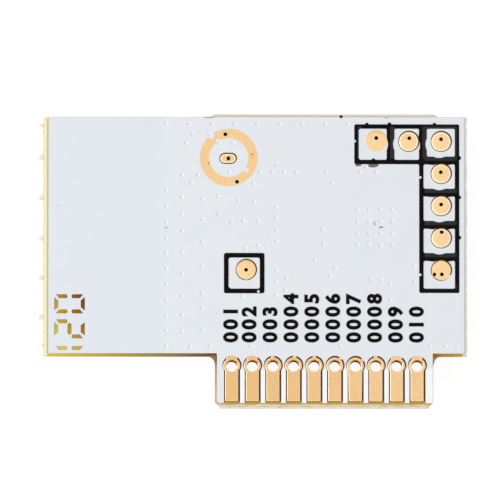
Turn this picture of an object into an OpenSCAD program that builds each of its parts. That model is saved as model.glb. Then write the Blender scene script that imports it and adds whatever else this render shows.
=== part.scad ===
// Small plug-in radio audio module: a white-masked circuit board with a tab of plated edge contacts.
// Drawn pad side up, at rest on the parts soldered under it. Millimetres, +Z up.

/* [Board] */
// Width between the broken score lines at the left and right ends
board_w = 26.1; // [25.5:0.1:32]
// Height of the main plate between its two routed edges
board_h = 14.8; // [14.4:0.1:20]
// Thickness of the bare laminate
board_t = 1.0; // [0.8:0.1:1.6]
// Width of the contact tab
tab_w = 13.45; // [13.2:0.05:15]
// Reach of the tab from the main plate to its broken score line
tab_l = 3.25; // [3:0.05:5]
// Centre of the tab to the right of the board's centre
tab_x = 4.26; // [0:0.01:5]
// Radius that the router leaves in the two inner corners
router_r = 0.4; // [0.2:0.05:0.6]
// Corner cut at the two outer corners of the tab
tab_corner = 0.4; // [0.1:0.05:0.6]

/* [Score lines] */
// Width of the bevel that a score line leaves
score_w = 0.2; // [0.1:0.02:0.3]
// Depth of the score cut from each face
score_depth = 0.33; // [0.2:0.01:0.38]
// Reach of a break-off nib past the left score line
nib_l = 0.28; // [0.1:0.02:0.5]
// Width of a break-off nib along the edge
nib_w = 0.28; // [0.15:0.01:0.5]
// Spacing of the five inner nibs
nib_pitch = 2.45; // [2:0.05:2.8]
// Distance of the two end nibs from the routed edges
nib_inset = 0.5; // [0.3:0.05:1]

/* [Films] */
// Thickness of a copper layer with its gold
copper_t = 0.035; // [0.02:0.005:0.045]
// Thickness of the solder mask film
mask_t = 0.05; // [0.046:0.002:0.06]
// Gap between a pad and the mask round it, and between the mask and the board's edge
mask_gap = 0.065; // [0.05:0.005:0.08]
// Sideways and upward error of the pad-side mask against the copper
mask_shift = 0.04; // [0:0.005:0.045]
// Thickness of the printed ink
ink_t = 0.02; // [0.01:0.005:0.03]
// Thickness of a land with its solder
solder_t = 0.08; // [0.07:0.01:0.15]

/* [Edge contacts] */
// Number of contacts along the tab
contact_count = 10; // [4:1:10]
// Spacing of the contacts
contact_pitch = 1.27; // [1.25:0.01:1.3]
// Width of a contact finger
contact_w = 0.86; // [0.7:0.02:0.95]
// Diameter of the copper ring at the top of a finger
contact_ring_d = 1.05; // [1:0.01:1.1]
// Finished diameter of the plated hole
pin_hole_d = 0.7; // [0.5:0.05:0.8]
// Hole centre below the main plate's lower edge
pin_hole_drop = 0.67; // [0.6:0.01:1]
// Finger end above the tab's broken score line
contact_end_gap = 0.42; // [0.3:0.02:0.6]
// Thickness of the plating in a hole
plating_t = 0.03; // [0.02:0.005:0.05]
// Width of a trace that meets a signal contact
signal_trace_w = 0.2; // [0.12:0.01:0.3]
// Width of the copper that meets a power contact
power_trace_w = 0.66; // [0.4:0.02:0.8]

/* [Test pads] */
// Diameter of a test pad
test_pad_d = 1.25; // [1:0.05:1.4]
// Spacing of the test pads in the L
test_pad_pitch = 2.0; // [1.9:0.05:2.1]
// Corner pad of the L from the right score line
test_pad_right = 1.58; // [1.5:0.02:2.2]
// Corner pad of the L from the upper routed edge
test_pad_top = 1.52; // [1.5:0.02:2.2]
// Single test pad from the left score line
single_pad_left = 12.48; // [11:0.02:14]
// Single test pad from the upper routed edge
single_pad_top = 9.5; // [8:0.05:11]
// Finished diameter of a via
via_d = 0.24; // [0.15:0.01:0.3]

/* [Ring pad] */
// Outer diameter of the ring
ring_od = 3.58; // [3.4:0.02:3.8]
// Inner diameter of the ring
ring_id = 2.42; // [2.2:0.02:2.5]
// Ring centre from the left score line
ring_left = 11.39; // [10:0.01:13]
// Ring centre from the upper routed edge
ring_top = 2.58; // [2.4:0.02:4]
// Length of the oblong centre pad
centre_pad_l = 1.0; // [0.8:0.02:1.2]
// Width of the oblong centre pad
centre_pad_w = 0.62; // [0.5:0.02:0.7]

/* [Printed frames] */
// Outer side of one printed box
frame_side = 2.42; // [2.3:0.02:2.5]
// Line width of the boxes in the L
frame_line = 0.215; // [0.15:0.005:0.25]
// Line width of the single box
single_line = 0.25; // [0.15:0.01:0.3]
// Radius round a box centre that the ink keeps clear of
ink_clear_r = 0.875; // [0.7:0.005:0.95]
// Error of the print to the left, against the copper
ink_left = 0.11; // [0:0.01:0.15]
// Error of the print downwards, against the copper
ink_down = 0.19; // [0:0.01:0.2]

/* [Antenna] */
// Width of the antenna trace
antenna_w = 0.5; // [0.3:0.05:0.7]
// Spacing of the antenna's legs
antenna_pitch = 1.3; // [1.1:0.05:1.4]
// Gap between the ends of the antenna's legs and the end of the antenna's zone
antenna_clear = 1.3; // [0.8:0.1:2]
// Number of legs
antenna_legs = 10; // [5:1:10]
// First leg below the upper routed edge, and the legs' left ends from the left score line
antenna_inset = 1.2; // [0.9:0.1:1.3]
// Height of the mask's raised line over the trace
relief_t = 0.02; // [0.01:0.005:0.03]

/* [System chip] */
// Side of the square package
soc_side = 5.0; // [4.6:0.1:6]
// Height of the package
soc_h = 0.85; // [0.6:0.05:1.2]
// Leads along one side
soc_leads_per_side = 10; // [6:1:10]
// Spacing of the leads
soc_lead_pitch = 0.4; // [0.38:0.01:0.42]
// Width of a lead
soc_lead_w = 0.2; // [0.15:0.01:0.25]
// Length of a lead under the package
soc_lead_l = 0.4; // [0.3:0.05:0.5]
// Thickness of a lead
soc_lead_t = 0.2; // [0.1:0.02:0.25]
// Side of the heat pad
heat_pad_side = 3.4; // [2.5:0.1:3.6]
// Package centre from the right score line
soc_right = 5.65; // [5:0.05:6]
// Package centre from the upper routed edge
soc_top = 6.9; // [6.6:0.05:7.5]

/* [Flash chip] */
// Moulded body across the leads
flash_w = 4.4; // [4.2:0.1:4.6]
// Moulded body along the leads
flash_l = 3.0; // [2.8:0.1:3.4]
// Height of the moulded body
flash_body_h = 0.9; // [0.7:0.05:1]
// Gap between the body and the lands
flash_standoff = 0.1; // [0.05:0.01:0.15]
// Span over the lead feet
flash_span = 6.4; // [6.1:0.1:6.8]
// Spacing of the leads
flash_lead_pitch = 0.65; // [0.6:0.01:0.7]
// Width of a lead
flash_lead_w = 0.25; // [0.2:0.01:0.3]
// Thickness of a lead
flash_lead_t = 0.13; // [0.1:0.01:0.16]
// Length of a lead's foot
flash_foot_l = 0.5; // [0.4:0.05:0.6]
// Inward slope of the moulded sides
flash_draft = 0.08; // [0.04:0.01:0.12]
// Gap between the inductor and the tips of the leads
flash_gap = 1.15; // [0.6:0.05:1.4]
// Body centre above the main plate's lower edge
flash_low = 3.4; // [3.1:0.05:4]

/* [Crystal] */
// Length of the ceramic base
crystal_l = 3.2; // [3:0.1:3.3]
// Width of the ceramic base
crystal_w = 2.5; // [2.2:0.1:2.6]
// Height of the ceramic base
crystal_base_h = 0.45; // [0.3:0.05:0.6]
// Height of the metal lid
crystal_lid_h = 0.28; // [0.15:0.01:0.4]
// Border of the base round the lid
crystal_rim = 0.14; // [0.1:0.01:0.25]
// Radius of the plated notches at the base's corners
crystal_notch_r = 0.2; // [0.1:0.02:0.3]
// Crystal centre from the upper routed edge
crystal_top = 5.7; // [5.2:0.1:6]

/* [Inductor] */
// Side of the square flanges
inductor_side = 3.0; // [2.6:0.1:3.2]
// Height over the flanges
inductor_h = 1.2; // [1:0.05:1.25]
// Thickness of a flange
inductor_flange_t = 0.34; // [0.25:0.01:0.4]
// Diameter of the post inside the winding
inductor_post_d = 1.5; // [1.2:0.1:1.8]
// Outer diameter of the winding
inductor_coil_d = 2.6; // [2:0.1:2.6]
// Corner cut of the flanges
inductor_corner = 0.5; // [0.3:0.05:0.8]
// Thickness of the terminal plates
inductor_plate_t = 0.06; // [0.04:0.01:0.1]
// Width of a terminal plate
inductor_plate_w = 0.85; // [0.6:0.05:1]
// Inductor centre from the right score line
inductor_right = 6.6; // [6:0.05:6.8]
// Inductor centre above the main plate's lower edge
inductor_low = 2.4; // [2:0.05:2.6]

/* [Chip parts] */
// Length of a bulk capacitor
bulk_l = 2.0; // [0.5:0.05:2.2]
// Width of a bulk capacitor
bulk_w = 1.25; // [0.5:0.05:2.2]
// Height of a bulk capacitor
bulk_h = 1.25; // [0.5:0.05:2.2]
// Length of a small capacitor
small_l = 1.0; // [0.3:0.05:1.2]
// Width of a small capacitor
small_w = 0.5; // [0.3:0.05:1.2]
// Height of a small capacitor
small_h = 0.5; // [0.3:0.05:1.2]
// Length of a resistor
resistor_l = 1.0; // [0.3:0.05:1.2]
// Width of a resistor
resistor_w = 0.5; // [0.3:0.05:1.2]
// Height of a resistor
resistor_h = 0.35; // [0.3:0.05:1.2]
// Share of a chip's length that each plated end covers
end_share = 0.24; // [0.15:0.01:0.3]
// Thickness of the plated ends
end_t = 0.025; // [0.015:0.005:0.04]
// Reach of a land past the chip's end
land_toe = 0.2; // [0.1:0.05:0.3]
// Gap between chips that stand side by side
chip_gap = 0.45; // [0.3:0.05:0.6]
// Spacing of two neighbouring small capacitors
chip_pitch = 2.0; // [1.8:0.1:2.4]
// Bulk capacitors from the antenna's zone and from the right score line
bulk_inset_x = 1.9; // [1.7:0.1:2.1]
// Bulk capacitors from the routed edges
bulk_inset_y = 1.5; // [1.2:0.1:1.8]

/* [Hidden] */
$fn = 48;
cut = 0.5;

// Plan of the board: the nibs count in its width, the scored upper stretch in its height
total_h = board_h + tab_l + score_w;
board_cx = nib_l / 2;
x_left = board_cx - board_w / 2;
x_right = board_cx + board_w / 2;
y_low = tab_l - total_h / 2;
y_top = y_low + board_h;
y_tab = y_low - tab_l;
tab_cx = board_cx + tab_x;
tab_sides = [tab_cx - tab_w / 2, tab_cx + tab_w / 2];
nib_rows = concat([y_top - nib_inset, y_low + nib_inset],
                  [for (k = [-2 : 2]) (y_low + y_top) / 2 + k * nib_pitch]);

// Heights: the board lies pad side up on the tallest part under it
flash_h = flash_body_h + flash_standoff;
z_seat = max(bulk_h, inductor_h, flash_h, soc_h, crystal_base_h + crystal_lid_h);
z_under = z_seat + solder_t;
z_face = z_under + board_t;
z_mask = z_face + mask_t;

// Edge contacts: where the copper meets each ring, as an angle, and how wide it is
hole_y = y_low - pin_hole_drop;
contact_end = y_tab + contact_end_gap;
contact_rows = [for (i = [0 : contact_count - 1]) tab_cx + (i - (contact_count - 1) / 2) * contact_pitch];
trace_angles = [90, 90, 90, 82, 88, 52, 40, 90, 90, 90];
power_contacts = [0, 1, 8, 9];

// Test pads: centres, the vias in each, and how the mask meets the copper
open_pad = 0;
flush_pad = 1;
half_pad = 2;
traced_pad = 3;
corner_pad = [x_right - test_pad_right, y_top - test_pad_top];
pad_row = [for (k = [2, 1, 0]) corner_pad - [k * test_pad_pitch, 0]];
pad_column = [for (k = [1 : 4]) corner_pad - [0, k * test_pad_pitch]];
single_pad = [x_left + single_pad_left, y_top - single_pad_top];
pad_centres = concat(pad_row, pad_column, [single_pad]);
pad_kinds = [flush_pad, open_pad, open_pad, open_pad, open_pad, open_pad, half_pad, traced_pad];
pad_vias = [[[0.02, 0.2]], [[0.04, 0.18]], [[0, 0.12]], [[-0.02, 0.07]], [[0, 0.06]], [[0.03, 0.35]],
            [[-0.43, -0.28], [0.04, -0.28]], [[0, -0.03]]];
test_pad_r = test_pad_d / 2;
via_drill_d = via_d + 2 * plating_t;
mask_move = [mask_shift, mask_shift];

// Ring pad: its vias, and bites of the mask as [across, up, radius]
ring_at = [x_left + ring_left, y_top - ring_top];
ring_vias = [[-0.17, 1.49], [0.55, -1.46]];
ring_bites = [[-1.06, 1.36, 0.2], [-0.66, 1.02, 0.15], [1.08, -0.78, 0.16]];
centre_vias = [[0.02, -0.03]];

// Print: ink pooled over vias, and breaks in the lines, from the corner pad and from the single pad
ink_move = [-ink_left, -ink_down];
ink_spots = [[-4.46, 1.22], [-3.07, 1.24], [-0.29, 1.22], [-4.06, -1.0], [1.23, -0.85], [1.23, -3.3], [1.23, -5.8]];
ink_spot_d = 0.18;
ink_breaks = [[-5.18, 0.19], [-1.15, -2.05], [-1.16, -8.1]];
single_breaks = [[0.86, -1.12]];
ink_break_d = 0.14;
single_break_d = 0.2;

// Parts under the board, each placed from its neighbour on the right, and the antenna's zone left of them
bulk_size = [bulk_l, bulk_w, bulk_h];
small_size = [small_l, small_w, small_h];
resistor_size = [resistor_l, resistor_w, resistor_h];
soc_at = [x_right - soc_right, y_top - soc_top];
small_reach = soc_side / 2 + chip_gap + small_w / 2;
crystal_at = [soc_at[0] - small_reach - small_w / 2 - chip_gap - crystal_l / 2, y_top - crystal_top];
inductor_at = [x_right - inductor_right, y_low + inductor_low];
flash_at = [inductor_at[0] - inductor_side / 2 - flash_gap - flash_span / 2, y_low + flash_low];
bulk_columns = [flash_at[0] - flash_span / 2 - chip_gap - bulk_l / 2, x_right - bulk_inset_x];
bulk_rows = [y_top - bulk_inset_y, y_low + bulk_inset_y];
bulk_places = [for (x = bulk_columns, y = bulk_rows) [x, y, 0]];
// Small capacitors stand in pairs on three sides of the system chip, and two at the antenna's feed
soc_pairs = [for (side = [0, 90, 180], step = [-0.5, 0.5])
    [soc_at[0] + small_reach * cos(side) - step * chip_pitch * sin(side),
     soc_at[1] + small_reach * sin(side) + step * chip_pitch * cos(side), side + 90]];
feed_y = y_top - antenna_inset - antenna_pitch;
feed_x = bulk_columns[0] - bulk_inset_x;
feed_pair = [[bulk_columns[0] - chip_pitch / 2, feed_y - chip_pitch / 2, 0],
             [bulk_columns[0] + chip_pitch / 2, feed_y - chip_pitch / 2, 90]];
small_places = concat(soc_pairs, feed_pair);
// Resistors stand in two pairs, above and below the flash chip
resistor_reach = flash_l / 2 + chip_pitch / 2;
resistor_places = [for (up = [1, -1], across = [-0.5, 0.5])
    [flash_at[0] + across * chip_pitch, flash_at[1] + up * resistor_reach, 0]];

function names(stem, count) = [for (i = [1 : count]) str(stem, i)];

// A flat shape raised from one height to another
module slab(z_from, z_to) {
    translate([0, 0, z_from]) linear_extrude(z_to - z_from) children();
}

module rect(low, high) {
    translate(low) square(high - low);
}

module tab_corner_cuts() {
    for (x = tab_sides) translate([x, y_tab]) rotate(45) square(tab_corner * sqrt(2), center = true);
}

// Outline of a board face, drawn in by a margin and moved
module face_outline(margin, move) {
    difference() {
        translate(move) union() {
            rect([x_left + score_w + margin, y_low + margin], [x_right - score_w - margin, y_top - margin]);
            rect([tab_sides[0] + margin, y_tab + score_w + margin], [tab_sides[1] - margin, y_low + 2 * margin]);
        }
        tab_corner_cuts();
    }
}

// Laminate left in an inner corner by the round router bit
module router_fillet() {
    difference() {
        translate([-router_r, -router_r]) square(2 * router_r);
        translate([-router_r, -router_r]) circle(router_r);
        translate([-router_r, 0]) square(2 * router_r);
        translate([0, -router_r]) square(2 * router_r);
    }
}

// Beveled edge that a score line leaves, along +X, with the board below it in plan
module scored_edge(length) {
    rotate([90, 0, 90]) linear_extrude(length)
        polygon([[-score_w, 0], [0, 0], [score_w, score_depth], [score_w, board_t - score_depth],
                 [0, board_t], [-score_w, board_t]]);
}

module nib() {
    translate([-nib_l, -nib_w / 2, score_depth]) cube([nib_l + score_w, nib_w, board_t - 2 * score_depth]);
}

module via_drills(at, vias) {
    for (via = vias) translate([at[0] + via[0], at[1] + via[1], z_under - cut])
        cylinder(h = board_t + 2 * cut, d = via_drill_d);
}

module laminate_plate() {
    color("khaki") difference() {
        union() {
            slab(z_under, z_face) face_outline(0, [0, 0]);
            slab(z_under, z_face) {
                translate([tab_sides[0], y_low]) router_fillet();
                translate([tab_sides[1], y_low]) mirror([1, 0]) router_fillet();
            }
            translate([x_right - score_w, y_top, z_under]) rotate(-90) scored_edge(board_h);
            translate([x_left + score_w, y_low, z_under]) rotate(90) scored_edge(board_h);
            translate([tab_sides[0], y_top, z_under]) scored_edge(tab_w);
            translate([tab_sides[1], y_tab + score_w, z_under]) rotate(180) scored_edge(tab_w);
            for (y = nib_rows) translate([x_left, y, z_under]) nib();
        }
        slab(z_under - cut, z_face + cut) tab_corner_cuts();
        for (x = contact_rows) translate([x, hole_y, z_under - cut])
            cylinder(h = board_t + 2 * cut, d = pin_hole_d + 2 * plating_t);
        for (i = [0 : len(pad_centres) - 1]) via_drills(pad_centres[i], pad_vias[i]);
        via_drills(ring_at, ring_vias);
        via_drills(ring_at, centre_vias);
    }
}

// Keyhole outline of a contact, grown by a gap and run down to a given height
module contact_outline(x, grow, low) {
    translate([x, hole_y]) circle(d = contact_ring_d + 2 * grow);
    rect([x - contact_w / 2 - grow, low], [x + contact_w / 2 + grow, hole_y]);
}

// Mask openings of the contacts run out over the tab's lower edge
module contact_opening(x, move) {
    translate(move) contact_outline(x, mask_gap, y_tab - cut);
}

// Copper of a contact on the pad side, with the trace that meets its ring
module contact_copper(i) {
    x = contact_rows[i];
    trace_w = len(search(i, power_contacts)) > 0 ? power_trace_w : signal_trace_w;
    contact_outline(x, 0, contact_end);
    intersection() {
        contact_opening(x, mask_move);
        translate([x, hole_y]) rotate(trace_angles[i]) translate([0, -trace_w / 2])
            square([contact_ring_d, trace_w]);
    }
}

module edge_contact(i) {
    color("goldenrod") difference() {
        union() {
            slab(z_face, z_face + copper_t) contact_copper(i);
            slab(z_under - copper_t, z_under) contact_outline(contact_rows[i], 0, contact_end);
            translate([contact_rows[i], hole_y, z_under])
                cylinder(h = board_t, d = pin_hole_d + 2 * plating_t);
        }
        translate([contact_rows[i], hole_y, z_under - cut]) cylinder(h = board_t + 2 * cut, d = pin_hole_d);
    }
}

// A pad with plated vias that run down through the laminate
module via_pad(at, vias) {
    color("goldenrod") difference() {
        union() {
            slab(z_face, z_face + copper_t) children();
            for (via = vias) translate([at[0] + via[0], at[1] + via[1], z_under])
                cylinder(h = board_t, d = via_drill_d);
        }
        for (via = vias) translate([at[0] + via[0], at[1] + via[1], z_under - cut])
            cylinder(h = board_t + 2 * cut, d = via_d);
    }
}

module ring_outline() {
    translate(ring_at + mask_move) difference() {
        circle(d = ring_od);
        circle(d = ring_id);
        for (bite = ring_bites) translate([bite[0], bite[1]]) circle(bite[2]);
    }
}

module ring_pad() {
    via_pad(ring_at, ring_vias) ring_outline();
}

module centre_outline(grow) {
    for (s = [-1, 1]) translate([s * (centre_pad_l - centre_pad_w) / 2, 0]) circle(d = centre_pad_w + 2 * grow);
    square([centre_pad_l - centre_pad_w, centre_pad_w + 2 * grow], center = true);
}

module centre_pad() {
    via_pad(ring_at, centre_vias) translate(ring_at) centre_outline(0);
}

// A flush pad fills its opening, the others leave a gap round the copper
module test_pad_opening(i) {
    grow = pad_kinds[i] == flush_pad ? 0 : mask_gap;
    translate(pad_centres[i] + mask_move) circle(test_pad_r + grow);
}

module test_pad_copper(i) {
    if (pad_kinds[i] == flush_pad) test_pad_opening(i);
    else translate(pad_centres[i]) circle(test_pad_r);
    if (pad_kinds[i] == half_pad) intersection() {
        test_pad_opening(i);
        translate(pad_centres[i] - [test_pad_d, test_pad_d + test_pad_r / 2]) square([2 * test_pad_d, test_pad_d]);
    }
    if (pad_kinds[i] == traced_pad) intersection() {
        test_pad_opening(i);
        translate(pad_centres[i] - [signal_trace_w / 2, test_pad_d]) square([signal_trace_w, test_pad_d]);
    }
}

module test_pad(i) {
    via_pad(pad_centres[i], pad_vias[i]) test_pad_copper(i);
}

module pad_side_mask() {
    color("whitesmoke") slab(z_face, z_mask) difference() {
        face_outline(mask_gap, mask_move);
        for (x = contact_rows) contact_opening(x, mask_move);
        ring_outline();
        translate(ring_at + mask_move) centre_outline(mask_gap);
        for (i = [0 : len(pad_centres) - 1]) test_pad_opening(i);
    }
}

// One printed box round a pad
module printed_box(at, line) {
    translate(at + ink_move) difference() {
        square(frame_side, center = true);
        square(frame_side - 2 * line, center = true);
    }
}

// Seven boxes that share their inner lines, with the ink kept back round each centre and off the pads
module frame_print_row() {
    color([0.1, 0.1, 0.1]) slab(z_mask, z_mask + ink_t) difference() {
        union() {
            for (i = [0 : len(pad_centres) - 2]) printed_box(pad_centres[i], frame_line);
            for (spot = ink_spots) translate(corner_pad + ink_move + spot) circle(d = ink_spot_d);
        }
        for (spot = ink_breaks) translate(corner_pad + ink_move + spot) circle(d = ink_break_d);
        for (i = [0 : len(pad_centres) - 2]) {
            translate(pad_centres[i] + ink_move) circle(ink_clear_r);
            test_pad_opening(i);
        }
    }
}

module frame_print_single() {
    color([0.1, 0.1, 0.1]) slab(z_mask, z_mask + ink_t) difference() {
        printed_box(single_pad, single_line);
        for (spot = single_breaks) translate(single_pad + ink_move + spot) circle(d = single_break_d);
    }
}

// Inverted-F antenna: a shorting leg, a feed leg, then a meander down the bare end
module antenna_outline(line) {
    left = x_left + antenna_inset;
    leg_end = feed_x - antenna_clear;
    function leg_y(i) = y_top - antenna_inset - i * antenna_pitch;
    for (i = [0 : antenna_legs - 1]) {
        right = i < 2 ? feed_x : leg_end;
        rect([left - line / 2, leg_y(i) - line / 2], [right, leg_y(i) + line / 2]);
    }
    for (i = [0 : antenna_legs - 2]) {
        x = i < 2 || i % 2 == 1 ? left : leg_end - line / 2;
        rect([x - line / 2, leg_y(i + 1) - line / 2], [x + line / 2, leg_y(i) + line / 2]);
    }
}

module antenna_trace() {
    color("peru") slab(z_under - copper_t, z_under) antenna_outline(antenna_w);
}

// Lands of every part under the board, each grown by a gap for the mask's openings
module land(size, grow) {
    square([size[0] + 2 * grow, size[1] + 2 * grow], center = true);
}

module chip_lands(place, size, grow) {
    land_l = size[0] * end_share + land_toe;
    translate([place[0], place[1]]) rotate(place[2]) for (s = [-1, 1])
        translate([s * (size[0] / 2 + land_toe - land_l / 2), 0]) land([land_l, size[1]], grow);
}

module soc_lead_places() {
    for (side = [0 : 90 : 270], k = [0 : soc_leads_per_side - 1])
        translate(soc_at) rotate(side)
            translate([soc_side / 2, (k - (soc_leads_per_side - 1) / 2) * soc_lead_pitch]) children();
}

module flash_lead_places() {
    for (side = [0, 180], k = [-1.5 : 1.5]) translate(flash_at) rotate(side)
        translate([flash_span / 2, k * flash_lead_pitch]) children();
}

module crystal_corner_places() {
    for (sx = [-1, 1], sy = [-1, 1])
        translate([crystal_at[0] + sx * crystal_l / 2, crystal_at[1] + sy * crystal_w / 2]) children();
}

module inductor_side_places() {
    for (s = [-1, 1]) translate(inductor_at + [s * (inductor_side - inductor_plate_w) / 2, 0]) children();
}

module all_lands(grow) {
    for (place = bulk_places) chip_lands(place, bulk_size, grow);
    for (place = small_places) chip_lands(place, small_size, grow);
    for (place = resistor_places) chip_lands(place, resistor_size, grow);
    translate(soc_at) land([heat_pad_side, heat_pad_side], grow);
    soc_lead_places() translate([land_toe / 2 - soc_lead_l / 2, 0]) land([soc_lead_l + land_toe, soc_lead_w], grow);
    flash_lead_places() translate([-flash_foot_l / 2, 0]) land([flash_foot_l + land_toe, flash_lead_w], grow);
    crystal_pads(grow);
    inductor_side_places() land([inductor_plate_w, inductor_side - 2 * inductor_corner], grow);
}

// Four lands under the crystal's corners, clear of the plated notches
module crystal_pads(grow) {
    pad = [crystal_l / 3, crystal_w / 3];
    for (sx = [-1, 1], sy = [-1, 1])
        translate(crystal_at + [sx * (crystal_l - pad[0]) / 2, sy * (crystal_w - pad[1]) / 2]) land(pad, grow);
}

module soldered_lands() {
    color("silver") slab(z_seat, z_under) all_lands(0);
}

module part_side_mask() {
    color("whitesmoke") difference() {
        union() {
            slab(z_under - mask_t, z_under) difference() {
                face_outline(mask_gap, [0, 0]);
                for (x = contact_rows) contact_opening(x, [0, 0]);
                all_lands(mask_gap);
            }
            slab(z_under - mask_t - relief_t, z_under - mask_t) antenna_outline(antenna_w + 2 * mask_gap);
        }
        slab(z_under - copper_t, z_under + cut) antenna_outline(antenna_w);
    }
}

module soc_lead_block() {
    translate([-soc_lead_l, -soc_lead_w / 2, z_seat - soc_lead_t]) cube([soc_lead_l, soc_lead_w, soc_lead_t]);
}

module soc_heat_pad() {
    slab(z_seat - soc_lead_t, z_seat) translate(soc_at) square(heat_pad_side, center = true);
}

module soc_body() {
    color([0.13, 0.13, 0.14]) difference() {
        slab(z_seat - soc_h, z_seat) translate(soc_at) square(soc_side, center = true);
        soc_lead_places() soc_lead_block();
        soc_heat_pad();
    }
}

module soc_leads() {
    color("silver") {
        soc_lead_places() soc_lead_block();
        soc_heat_pad();
    }
}

// Gull-wing lead from its foot's tip at the origin, inwards along -X, with the lands above it
module flash_lead() {
    shank = (flash_span - flash_w) / 2;
    knee = shank - flash_foot_l;
    z_shank = -flash_standoff - flash_body_h / 2;
    half = flash_lead_t / 2;
    rotate([90, 0, 0]) translate([0, 0, -flash_lead_w / 2]) linear_extrude(flash_lead_w)
        polygon([[0, 0], [-flash_foot_l, 0], [-flash_foot_l - knee / 2, z_shank + half],
                 [-shank - flash_foot_l, z_shank + half], [-shank - flash_foot_l, z_shank - half],
                 [-flash_foot_l - knee / 2 + flash_lead_t, z_shank - half],
                 [-flash_foot_l + flash_lead_t, -flash_lead_t], [0, -flash_lead_t]]);
}

// Moulded body that slopes in from its parting line on all four sides
module moulded_profile(width, depth) {
    rotate([90, 0, 0]) translate([0, 0, -depth / 2]) linear_extrude(depth)
        polygon([for (s = [-1, 1], level = [-1, 0, 1] * s)
            [s * (width / 2 - abs(level) * flash_draft), level * flash_body_h / 2]]);
}

module flash_body() {
    color([0.15, 0.15, 0.16]) difference() {
        translate([flash_at[0], flash_at[1], z_seat - flash_standoff - flash_body_h / 2]) intersection() {
            moulded_profile(flash_w, flash_l);
            rotate(90) moulded_profile(flash_l, flash_w);
        }
        flash_lead_places() translate([0, 0, z_seat]) flash_lead();
    }
}

module flash_leads() {
    color("silver") flash_lead_places() translate([0, 0, z_seat]) flash_lead();
}

module crystal_base() {
    color("dimgray") difference() {
        slab(z_seat - crystal_base_h, z_seat) translate(crystal_at) square([crystal_l, crystal_w], center = true);
        slab(z_seat - crystal_base_h - cut, z_seat + cut) crystal_corner_places() circle(crystal_notch_r);
    }
}

module crystal_lid() {
    lid = [crystal_l - 2 * crystal_rim, crystal_w - 2 * crystal_rim];
    round_r = crystal_notch_r + crystal_rim / 2;
    z_top = z_seat - crystal_base_h;
    color("gainsboro") slab(z_top - crystal_lid_h, z_top) translate(crystal_at) {
        square([lid[0] - 2 * round_r, lid[1]], center = true);
        square([lid[0], lid[1] - 2 * round_r], center = true);
        for (sx = [-1, 1], sy = [-1, 1])
            translate([sx * (lid[0] / 2 - round_r), sy * (lid[1] / 2 - round_r)]) circle(round_r);
    }
}

module inductor_flange() {
    difference() {
        square(inductor_side, center = true);
        for (sx = [-1, 1], sy = [-1, 1]) translate([sx * inductor_side / 2, sy * inductor_side / 2])
            rotate(45) square(inductor_corner * sqrt(2), center = true);
    }
}

inductor_base = z_seat - inductor_plate_t;
inductor_low_z = z_seat - inductor_h;

module inductor_core() {
    color("dimgray") {
        slab(inductor_base - inductor_flange_t, inductor_base) translate(inductor_at) inductor_flange();
        slab(inductor_low_z + inductor_flange_t, inductor_base - inductor_flange_t)
            translate(inductor_at) circle(d = inductor_post_d);
        slab(inductor_low_z, inductor_low_z + inductor_flange_t) translate(inductor_at) inductor_flange();
    }
}

module inductor_coil() {
    color("chocolate") slab(inductor_low_z + inductor_flange_t, inductor_base - inductor_flange_t)
        translate(inductor_at) difference() {
            circle(d = inductor_coil_d);
            circle(d = inductor_post_d);
        }
}

module inductor_plates() {
    color("silver") slab(inductor_base, z_seat)
        inductor_side_places() square([inductor_plate_w, inductor_side - 2 * inductor_corner], center = true);
}

// Chip part along +X, hung under its lands: a body whose two ends sit in plated caps
module chip_at(place) {
    translate([place[0], place[1], z_seat]) rotate(place[2]) children();
}

module chip_body(size) {
    translate([end_t - size[0] / 2, end_t - size[1] / 2, end_t - size[2]])
        cube([size[0] - 2 * end_t, size[1] - 2 * end_t, size[2] - 2 * end_t]);
}

module chip_ends(size) {
    cap_l = size[0] * end_share;
    difference() {
        for (s = [-1, 1]) translate([s * (size[0] - cap_l) / 2 - cap_l / 2, -size[1] / 2, -size[2]])
            cube([cap_l, size[1], size[2]]);
        chip_body(size);
    }
}

module bulk_capacitor(i) {
    color("tan") chip_at(bulk_places[i]) chip_body(bulk_size);
}

module bulk_capacitor_ends() {
    color("silver") for (place = bulk_places) chip_at(place) chip_ends(bulk_size);
}

module small_capacitor(i) {
    color("burlywood") chip_at(small_places[i]) chip_body(small_size);
}

module small_capacitor_ends() {
    color("silver") for (place = small_places) chip_at(place) chip_ends(small_size);
}

module resistor(i) {
    color([0.12, 0.12, 0.12]) chip_at(resistor_places[i]) chip_body(resistor_size);
}

module resistor_ends() {
    color("silver") for (place = resistor_places) chip_at(place) chip_ends(resistor_size);
}

laminate_plate();
pad_side_mask();
part_side_mask();
for (i = [0 : contact_count - 1])
    edge_contact(i);
ring_pad();
centre_pad();
for (i = [0 : len(pad_centres) - 1])
    test_pad(i);
frame_print_row();
frame_print_single();
antenna_trace();
soldered_lands();
soc_body();
soc_leads();
flash_body();
flash_leads();
crystal_base();
crystal_lid();
inductor_core();
inductor_coil();
inductor_plates();
for (i = [0 : len(bulk_places) - 1])
    bulk_capacitor(i);
bulk_capacitor_ends();
for (i = [0 : len(small_places) - 1])
    small_capacitor(i);
small_capacitor_ends();
for (i = [0 : len(resistor_places) - 1])
    resistor(i);
resistor_ends();
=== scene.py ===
"""Looks of a small plug-in radio audio module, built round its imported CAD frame."""

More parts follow.
